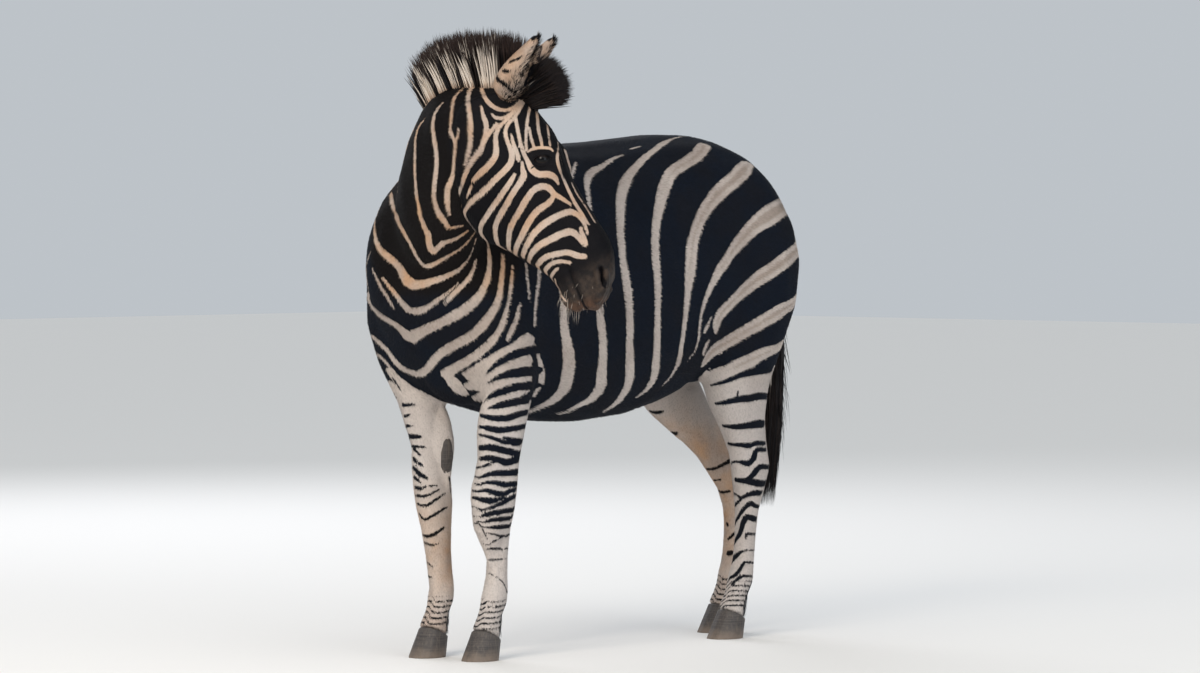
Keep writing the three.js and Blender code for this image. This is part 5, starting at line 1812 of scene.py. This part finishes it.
def tufts(name, chosen, uv):
    """One piece of the coat: a thin bent blade at each chosen root."""
    count = len(chosen)
    out, lie, side = root_out[chosen], root_lie[chosen], root_side[chosen]
    long, wide = root_long[chosen, None], root_wide[chosen, None]
    rise = np.tan(lift[chosen])[:, None] * long
    base = root_place[chosen] - out * TUFT_DEEP - lie * long * root_back[chosen, None]
    middle = base + lie * long * TUFT_MIDDLE + out * (rise * 0.55 + TUFT_CLEAR)
    tip = base + lie * long + out * (rise + TUFT_CLEAR)
    places = np.stack((base, middle + side * wide / 2, middle - side * wide / 2, tip), 1).reshape(-1, 3)
    start = np.arange(count)[:, None] * 4
    triangles = np.stack((start + (0, 2, 1), start + (1, 2, 3)), 1).reshape(-1, 3)
    patch = np.array(((-0.5, 0), (0, 0.5), (0, -0.5), (0.5, 0))) * BAKE_PATCH
    map_places = bake_places(uv, patch)
    along = np.tile((0.0, TUFT_MIDDLE, TUFT_MIDDLE, 1.0), count)
    strand = np.stack((np.repeat(root_random[chosen], 4), along, np.ones(4 * count)), 1)
    return piece_of(name, places, triangles, map_places,
                    {"mark": np.repeat(root_mark[chosen], 4), "tone": np.repeat(root_tone[chosen], 4, 0),
                     "lip": np.repeat(root_lip[chosen], 4),
                     "strand": strand}, coat.material)


def around(a, b):
    """The turn from one way to another as a share of a full turn."""
    return np.arctan2(a, b) / (2 * math.pi) + 0.5


of_part = [kind_of(FLESH[k]) for k in range(len(FLESH))]
root_kind = np.array(of_part)[root_part]
trunk_mid = 0.68 * WITHERS
on_trunk = (root_kind == "trunk") | (root_kind == "tail")
for name, hand in (("left", 1), ("right", -1)):
    chosen = np.nonzero(on_trunk & ((left > 0) == (hand > 0)))[0]
    turn_round = np.arctan2(hand * left[chosen], up[chosen] - trunk_mid) / math.pi
    chart = np.stack(((fore[chosen] + 0.58) / 1.16, np.clip(turn_round, 0, 1)), 1)
    tufts(f"coat_trunk_{name}", chosen, chart)

chosen = np.nonzero(root_kind == "neck")[0]
k = nearest_step(root_place[chosen])
off = root_place[chosen] - neck_axis[k]
chart = np.stack((around((off * neck_sides[k]).sum(1), (off * neck_tops[k]).sum(1)),
                  (NECK_STEPS[k] + 0.25) / 1.25), 1)
tufts("coat_neck", chosen, chart)

chosen = np.nonzero((root_kind == "head") | (root_kind == "ear"))[0]
ear_of = np.where(side_of_face[chosen] > 0, 1, -1)
chart = np.stack((around(side_of_face[chosen], out[chosen] + 0.16) * 0.78, (down[chosen] + 0.1) / 1.15), 1)
on_ear = root_kind[chosen] == "ear"
for hand in (1, -1):
    root, along, opening = ear_ways(hand)
    cross = np.cross(along, opening)
    mine = on_ear & (ear_of == hand)
    off = root_place[chosen[mine]] - root
    chart[mine, 0] = 0.895 + 0.05 * hand + 0.045 * (around(off @ cross, off @ opening) * 2 - 1)
    chart[mine, 1] = off @ along / EAR_LONG
tufts("coat_head", chosen, chart)

for pair, names in (("front", LEGS[:2]), ("hind", LEGS[2:])):
    chosen = np.nonzero(np.isin(root_part, [FLESH.index(name) for name in names]))[0]
    chart = np.zeros((len(chosen), 2))
    for k, name in enumerate(names):
        mine = root_part[chosen] == FLESH.index(name)
        spots_here = root_place[chosen[mine]]
        level = np.clip((spots_here[:, 2] / LEVEL).astype(int), 0, LEVELS - 1)
        count = np.maximum(np.bincount(level, minlength=LEVELS), 1)
        mid_x = np.bincount(level, spots_here[:, 0], LEVELS) / count
        mid_y = np.bincount(level, spots_here[:, 1], LEVELS) / count
        off = spots_here[:, :2] - np.stack((mid_x[level], mid_y[level]), 1)
        chart[mine, 0] = k * 0.5 + 0.5 * around(off[:, 0], off[:, 1])
        chart[mine, 1] = spots_here[:, 2] / CHART_TOP
    tufts(f"coat_legs_{pair}", chosen, chart)


# ---- Mane, forelock and tail --------------------------------------------------------------------------
LOCK_SIDES = 3
# How thick the mane's, the forelock's and the tail's hairs are, and what their tips keep.
MANE_THICK = 0.0040
FORELOCK_THICK = 0.0036
TAIL_THICK = 0.0042
TIP_THICK = 0.0006


def pixel_of(places):
    """How far across and down the camera's view each place lies, in pixels."""
    seen_places = (places - np.array(CAMERA_AT)) @ view_turn
    ahead = -seen_places[:, 2]
    return FRAME[0] / 2 + seen_places[:, 0] / ahead * FOCAL, FRAME[1] / 2 - seen_places[:, 1] / ahead * FOCAL


def locks(name, lines, widths, uv, band, tone_of_hair, replaced=None):
    """One piece of long hair: each lock is a thin closed spindle along its own line of points.
    lines is lock by point by place, widths is lock by point, and band is above 0 for pale locks."""
    count, steps, _ = lines.shape
    sides = LOCK_SIDES
    ways = unit(np.gradient(lines, axis=1))
    across = unit(np.cross(ways, chance.normal(size=(count, 1, 3))))
    other = np.cross(ways, across)
    rings = []
    for k in range(sides):
        turn = 2 * math.pi * k / sides
        rings.append(lines + (across * math.cos(turn) + other * math.sin(turn)) * widths[..., None] / 2)
    ring = np.stack(rings, 2)[:, :-1]
    body_count = (steps - 1) * sides
    places = np.concatenate((ring.reshape(count, body_count, 3), lines[:, -1:]), 1)
    triangles = []
    for i in range(steps - 2):
        for k in range(sides):
            a, b = i * sides + k, i * sides + (k + 1) % sides
            triangles += [(a, b, b + sides), (a, b + sides, a + sides)]
    for k in range(sides):
        a, b = (steps - 2) * sides + k, (steps - 2) * sides + (k + 1) % sides
        triangles.append((a, b, body_count))
    triangles += [(0, k + 1, k) for k in range(1, sides - 1)]
    triangles = np.array(triangles)
    size = body_count + 1
    all_triangles = (triangles[None] + np.arange(count)[:, None, None] * size).reshape(-1, 3)
    along = np.append(np.repeat(np.arange(steps - 1), sides), steps - 1) / (steps - 1)
    sideways = np.append(np.tile(np.arange(sides) / (sides - 1) - 0.5, steps - 1), 0)
    patch = np.stack((along - 0.5, sideways), 1) * BAKE_PATCH
    map_places = bake_places(uv, patch)
    own_random = np.repeat(chance.random(count), size)
    strand = np.stack((own_random, np.tile(along, count), np.ones(count * size)), 1)
    made = piece_of(name, places.reshape(-1, 3), all_triangles, map_places,
                    {"mark": np.repeat(band, size), "tone": np.tile(tone_of_hair, (count * size, 1)),
                     "strand": strand}, hair.material)
    if replaced:
        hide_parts(replaced)


def bent(roots, ways, longs, bends, steps):
    """Lines that start along their ways and bend over by the end."""
    s = np.linspace(0, 1, steps)[None, :, None]
    return roots[:, None] + (ways[:, None] * s + bends[:, None] * s**2) * longs[:, None, None]


def seated(roots, way, above):
    """Where the skin is under each root, looked for from above it along a way."""
    seats = []
    for root in roots:
        hit = skin_tree.ray_cast(Vector(root + way * above), Vector(-way))[0]
        seats.append(np.array(hit) if hit is not None else root)
    return np.array(seats)


MANE_T = (0.02, 0.24, 0.42, 0.60, 0.78, 0.94)
MANE_TALL = (0.045, 0.098, 0.126, 0.138, 0.142, 0.140)
MANE_LEAN = (-0.12, -0.14, -0.20, -0.22, -0.12, 0.12)
MANE_LOCKS = 7600
MANE_STEPS = 5
# White bands of the mane, by where their roots stand across the camera's view: middle and half width.
MANE_BANDS = [(374, 3.2), (388, 3.2), (402, 3.4), (413, 3.0), (423.0, 2.2), (429.4, 2.8), (440.0, 3.8),
              (452.0, 3.4), (463.2, 3.1), (476.5, 3.3), (492.0, 5.6), (499.0, 3.2)]


def mane():
    t = (chance.random(MANE_LOCKS) * 0.99 + 0.005) ** 0.85
    aside = chance.normal(size=MANE_LOCKS) * 0.42
    aside = np.clip(aside, -1, 1)
    crest = np.interp(t, np.linspace(0, 1, 6), NECK_MIDS) + np.interp(t, np.linspace(0, 1, 6), NECK_CRESTS)
    crest_line = np.array([neck_line(a, b * WITHERS) for a, b in zip(t, crest)])
    k = np.array([np.argmin(np.abs(NECK_STEPS - a)) for a in t])
    side = neck_sides[k]
    # Where the neck turns, the roots stand on the outer side of its crest.
    outer = 0.027 * between(t, 0.02, 0.22) * between(-t, -0.66, -0.42)
    crest_line = crest_line - side * outer[:, None]
    roots = crest_line + side * (aside * (0.021 + 0.006 * (1 - t)))[:, None]
    seats = seated(roots, UP, 0.10)
    across, _ = pixel_of(crest_line)
    band = np.full(MANE_LOCKS, -0.02)
    wobble = chance.normal(size=MANE_LOCKS) * 0.4
    for middle, half in MANE_BANDS:
        band = np.maximum(band, (half - np.abs(across + wobble - middle)) * 0.0026)
    tall = np.interp(t, MANE_T, MANE_TALL)
    lean = np.interp(t, MANE_T, MANE_LEAN)
    ways = unit(UP + face_out * lean[:, None] + side * (aside * (0.12 + 0.16 * (1 - t)))[:, None]
                + chance.normal(size=(MANE_LOCKS, 3)) * 0.035)
    longs = tall * (0.80 + 0.20 * chance.random(MANE_LOCKS)) * (1 - 0.16 * np.abs(aside)**1.5) + 0.012
    longs *= np.where(chance.random(MANE_LOCKS) < 0.08, 0.6, 1.0)
    bends = side * (aside * 0.10)[:, None] + chance.normal(size=(MANE_LOCKS, 3)) * 0.03
    lines = bent(seats - ways * 0.012, ways, longs, bends, MANE_STEPS)
    s = np.linspace(0, 1, MANE_STEPS)
    widths = (MANE_THICK * (0.75 + 0.25 * np.sin(math.pi * s)) * (1 - s**2.2) + TIP_THICK)[None]
    widths = widths * (0.7 + 0.6 * chance.random(MANE_LOCKS))[:, None]
    chart = np.stack((t, 0.5 + aside * 0.45), 1)
    locks("mane_locks", lines, widths, chart, band, (0.0, 1.0, 0.5), "mane")


FORELOCK_LOCKS = 3200


def forelock():
    """Upright hair down the forehead: how far down and out its roots are, how tall it is, and its tilt."""
    s = 1 - np.sqrt(1 - chance.random(FORELOCK_LOCKS) * 0.96)
    down = np.interp(s, (0, 0.5, 1), (0.0, 0.070, 0.138))
    out = np.interp(s, (0, 0.5, 1), (0.02, 0.03, 0.04))
    tall = np.interp(s, (0, 0.5, 1), (0.130, 0.114, 0.070))
    tilt = np.radians(np.interp(s, (0, 0.5, 1), (-16, 0, 15))
                      + chance.normal(size=FORELOCK_LOCKS) * 4.0)
    aside = np.clip(chance.normal(size=FORELOCK_LOCKS) * 0.45, -1, 1)
    roots = poll + np.stack((down, out, aside * 0.026 / HEAD), 1) @ face_ways * HEAD
    seats = seated(roots, face_out, 0.08)
    ways = unit(face_out * np.cos(tilt)[:, None] + face_axis * np.sin(tilt)[:, None]
                + face_left * (aside * 0.12)[:, None] + chance.normal(size=(FORELOCK_LOCKS, 3)) * 0.05)
    longs = tall * (0.80 + 0.20 * chance.random(FORELOCK_LOCKS)) + 0.010
    bends = face_left * (aside * 0.12)[:, None] + face_axis * 0.06
    bends = bends + chance.normal(size=(FORELOCK_LOCKS, 3)) * 0.03
    lines = bent(seats - ways * 0.010, ways, longs, bends, MANE_STEPS)
    steps = np.linspace(0, 1, MANE_STEPS)
    widths = (FORELOCK_THICK * (1 - steps**2.2) + TIP_THICK)[None]
    widths = widths * (0.7 + 0.6 * chance.random(FORELOCK_LOCKS))[:, None]
    band = np.where(chance.random(FORELOCK_LOCKS) < 0.02, 0.004, -0.02)
    chart = np.stack((s, 0.5 + aside * 0.45), 1)
    locks("forelock_locks", lines, widths, chart, band, (0.0, 0.3, 0.5), "forelock")


TAIL_PATH = np.array([(-0.518, 0.866), (-0.538, 0.800), (-0.543, 0.720), (-0.538, 0.640), (-0.532, 0.560),
                      (-0.522, 0.460), (-0.513, 0.360), (-0.508, 0.252)])
TAIL_WIDE = np.array((0.020, 0.022, 0.026, 0.033, 0.041, 0.044, 0.041, 0.028))
TAIL_LOCKS = 1300
TAIL_STEPS = 12


def tail():
    """Long hair from the dock's sides, each lock running down the tail's own line to its tip."""
    start = np.clip(chance.beta(1.5, 1.2, TAIL_LOCKS) * 0.52, 0.05, 0.52)
    end = start + 0.30 + 0.70 * chance.random(TAIL_LOCKS)**0.6
    end = np.minimum(end, 1.0 - 0.22 * chance.random(TAIL_LOCKS)**2)
    turn = chance.random(TAIL_LOCKS) * 2 * math.pi
    reach = np.sqrt(chance.random(TAIL_LOCKS))
    stray = chance.random(TAIL_LOCKS) < 0.14
    reach = np.where(stray, 1.15 + 0.55 * chance.random(TAIL_LOCKS), reach)
    end = np.where(stray, np.minimum(end, 0.62 + 0.30 * chance.random(TAIL_LOCKS)), end)
    s = start[:, None] + (end - start)[:, None] * np.linspace(0, 1, TAIL_STEPS)[None]
    steps = np.linspace(0, 1, len(TAIL_PATH))
    at = np.interp(s, steps, TAIL_PATH[:, 0])
    up = np.interp(s, steps, TAIL_PATH[:, 1])
    wide = np.interp(s, steps, TAIL_WIDE)
    growth = np.linspace(0, 1, TAIL_STEPS)[None]
    opening = np.where(stray[:, None], growth**1.6, np.minimum(0.45 + growth * 1.4, 1))
    grown = wide * (reach[:, None] * 0.86) * opening
    grown += 0.004 * np.sin(growth * 7 + turn[:, None] * 3) * growth
    fore = at * TRUNK + np.cos(turn)[:, None] * grown * 0.92
    left = 0.010 * (0.95 - up) / 0.35 + np.sin(turn)[:, None] * grown
    turned_by = BEND * fore
    lines = np.stack((-np.sin(turned_by) / BEND, -(1 - np.cos(turned_by)) / BEND, up * WITHERS), -1)
    lines = lines + asides_at(fore) * left[..., None] + SHIFT
    swell = 0.6 + 0.4 * np.sin(np.pi * np.minimum(growth + 0.2, 1))
    widths = TAIL_THICK * (1 - growth**2.5) * swell + TIP_THICK
    widths = widths * (0.6 + 0.8 * chance.random(TAIL_LOCKS))[:, None]
    band = np.where(chance.random(TAIL_LOCKS) < 0.04 * (start < 0.3), 0.004, -0.02)
    chart = np.stack((turn / (2 * math.pi), start / 0.6), 1)
    locks("tail_locks", lines, widths, chart, band, (0.0, 0.0, 0.5), "tail_switch")


LASHES = 46
WHISKERS = 190


def lashes_and_whiskers():
    """Lashes along the upper lids, and long thin hairs on the lips and chin."""
    roots, ways, longs, thick, pale = [], [], [], [], []
    for hand in (1, -1):
        centre = eye_at(hand)
        long, high, out_of_eye = eye_ways(hand)
        for k in range(LASHES):
            turn = math.radians(12 + 156 * (k + chance.random()) / LASHES)
            along, above = lid_edge(turn)
            flat = math.hypot(along, above)
            angle = math.asin(min(flat / EYE["radius"], 0.98)) + 0.03
            way = (long * along + high * above) / flat
            aim = out_of_eye * math.cos(angle) + way * math.sin(angle)
            roots.append(centre + aim * (EYE["radius"] + 0.0012))
            ways.append(out_of_eye * 0.9 + long * along * 14 + high * (0.35 - 0.5 * (k % 2)))
            longs.append(0.011 + 0.005 * chance.random())
            thick.append(0.0008)
            pale.append(False)
    chosen = np.nonzero((root_tone[:, 0] > 0.5) & (root_share("head") > 0.8) & (out < -0.09))[0]
    chosen = chance.choice(chosen, WHISKERS, replace=False)
    for k in chosen:
        of_chin = out[k] < -0.20 and down[k] > 0.86
        roots.append(root_place[k])
        ways.append(root_out[k] + root_lie[k] * 0.7 + chance.normal(size=3) * 0.15 - UP * 1.2 * of_chin)
        longs.append(0.009 + 0.013 * chance.random() + 0.022 * of_chin)
        thick.append(0.0006)
        pale.append(chance.random() < (0.6 if of_chin else 0.12))
    roots, ways = np.array(roots), unit(np.array(ways))
    longs, thick = np.array(longs), np.array(thick)
    bends = -UP * 0.16 + chance.normal(size=roots.shape) * 0.08
    lines = bent(roots - ways * 0.001, ways, longs, bends, 6)
    widths = thick[:, None] * (1 - np.linspace(0, 1, 6) ** 2 * 0.85)[None]
    count = len(roots)
    is_lash = np.arange(count) < 2 * LASHES
    band = np.where(pale, 0.02, -0.02)
    chart = np.stack((np.linspace(0.01, 0.99, count), np.where(is_lash, 0.2, 0.7)), 1)
    locks("lashes_and_whiskers", lines, widths, chart, band, (0.0, 0.0, 0.5))


# A chestnut's half width, half height and half depth, and the pixel that the right one is seen at.
CHESTNUT = (0.016, 0.050, 0.0062)
CHESTNUT_AT = (447, 458)


def chestnut(name, place, out_of_leg):
    """The oval of bare horn on the inner side of a fore leg."""
    made = rounded(name, 28, 16)
    own = points_of(made.data)
    high = unit(UP - out_of_leg * (UP @ out_of_leg))
    wide, tall, deep = CHESTNUT
    ways = np.stack((np.cross(high, out_of_leg) * wide, high * tall, out_of_leg * deep))
    knobs = 1 + 0.06 * np.sin(9 * own[:, 0] + 5 * own[:, 1])[:, None] * np.cos(13 * own[:, 1])[:, None]
    set_points(made.data, place + own * knobs @ ways)
    face_outwards(made)
    made.data.materials.append(horn.material)
    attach(made, "root")


mane()
forelock()
tail()
lashes_and_whiskers()
spot = on_skin(*CHESTNUT_AT, ["leg_front_right", "trunk"])
place, out_of_leg, _, _ = skin_tree.find_nearest(Vector(spot))
chestnut("chestnut_right", np.array(place), np.array(out_of_leg))
twin = body_from(spot[None])[0]
place, out_of_leg, _, _ = skin_tree.find_nearest(Vector(body(twin[0], -twin[1], twin[2])))
chestnut("chestnut_left", np.array(place), np.array(out_of_leg))


# ---- Hooves -------------------------------------------------------------------------------------------
HOOF_VOXEL = 0.0022


def hoof(name):
    """The hoof's own shape, rounded off."""
    made = copy_of(f"hoof_{name}")
    made.name = made.data.name = f"horn_{name}"
    made.data.materials.clear()
    weld(made)
    apply(made, "REMESH", mode="VOXEL", voxel_size=HOOF_VOXEL, adaptivity=0.0)
    places = points_of(made.data)
    places = evened(places, edges_of(made.data), np.ones(len(places)), 10)
    places[:, 2] = np.maximum(places[:, 2], 0.0)
    set_points(made.data, places)
    apply(made, "DECIMATE", ratio=0.45, use_collapse_triangulate=True)
    apply(made, "TRIANGULATE")
    bpy.ops.object.shade_smooth()
    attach(made, "root")
    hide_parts(f"hoof_{name}")
    made.data.materials.append(horn.material)


for leg_name in LEG_NAMES:
    hoof(leg_name)


# ---- Floor and lights ---------------------------------------------------------------------------------
FLOOR_SIZE = 60
SKY_POWER = 0.58


def plain(name, colour, roughness):
    finish = Finish(name)
    finish.set(Base_Color=colour, Roughness=roughness)
    return finish.material


bpy.ops.object.select_all(action="DESELECT")
bpy.ops.mesh.primitive_plane_add(size=FLOOR_SIZE, location=(0, 0, 0))
floor = bpy.context.object
floor.name = "floor"
floor.data.materials.append(plain("pale floor", (0.80, 0.79, 0.77), 0.9))

bpy.context.scene.view_settings.view_transform = "Standard"
world = bpy.data.worlds.new("studio")
bpy.context.scene.world = world
world.use_nodes = True
world.node_tree.nodes["Background"].inputs["Color"].default_value = (0.88, 0.94, 1.0, 1)
world.node_tree.nodes["Background"].inputs["Strength"].default_value = SKY_POWER


def lamp(name, at, aim, size, power, colour):
    data = bpy.data.lights.new(name, "AREA")
    data.size = size
    data.energy = power
    data.color = colour
    lamp_object = bpy.data.objects.new(name, data)
    lamp_object.location = at
    lamp_object.rotation_euler = (Vector(aim) - Vector(at)).to_track_quat("-Z", "Y").to_euler()
    link(lamp_object)


lamp("key", (-7.0, -2.0, 4.5), (0, 0, 0.8), 3.0, 330, (1.0, 0.89, 0.76))
lamp("fill", (-1.0, -8.0, 3.0), (0, 0, 0.8), 5.0, 150, (0.88, 0.93, 1.0))
lamp("rim", (3.0, 6.0, 5.0), (0, 0, 0.9), 4.0, 190, (0.95, 0.95, 1.0))
sky = bpy.data.lights.new("sky", "SUN")
sky.energy = 0.7
sky.angle = math.radians(60)
sky.color = (1.0, 0.97, 0.93)
sky_object = bpy.data.objects.new("sky", sky)
sky_object.rotation_euler = (math.radians(28), math.radians(-22), 0)
link(sky_object)
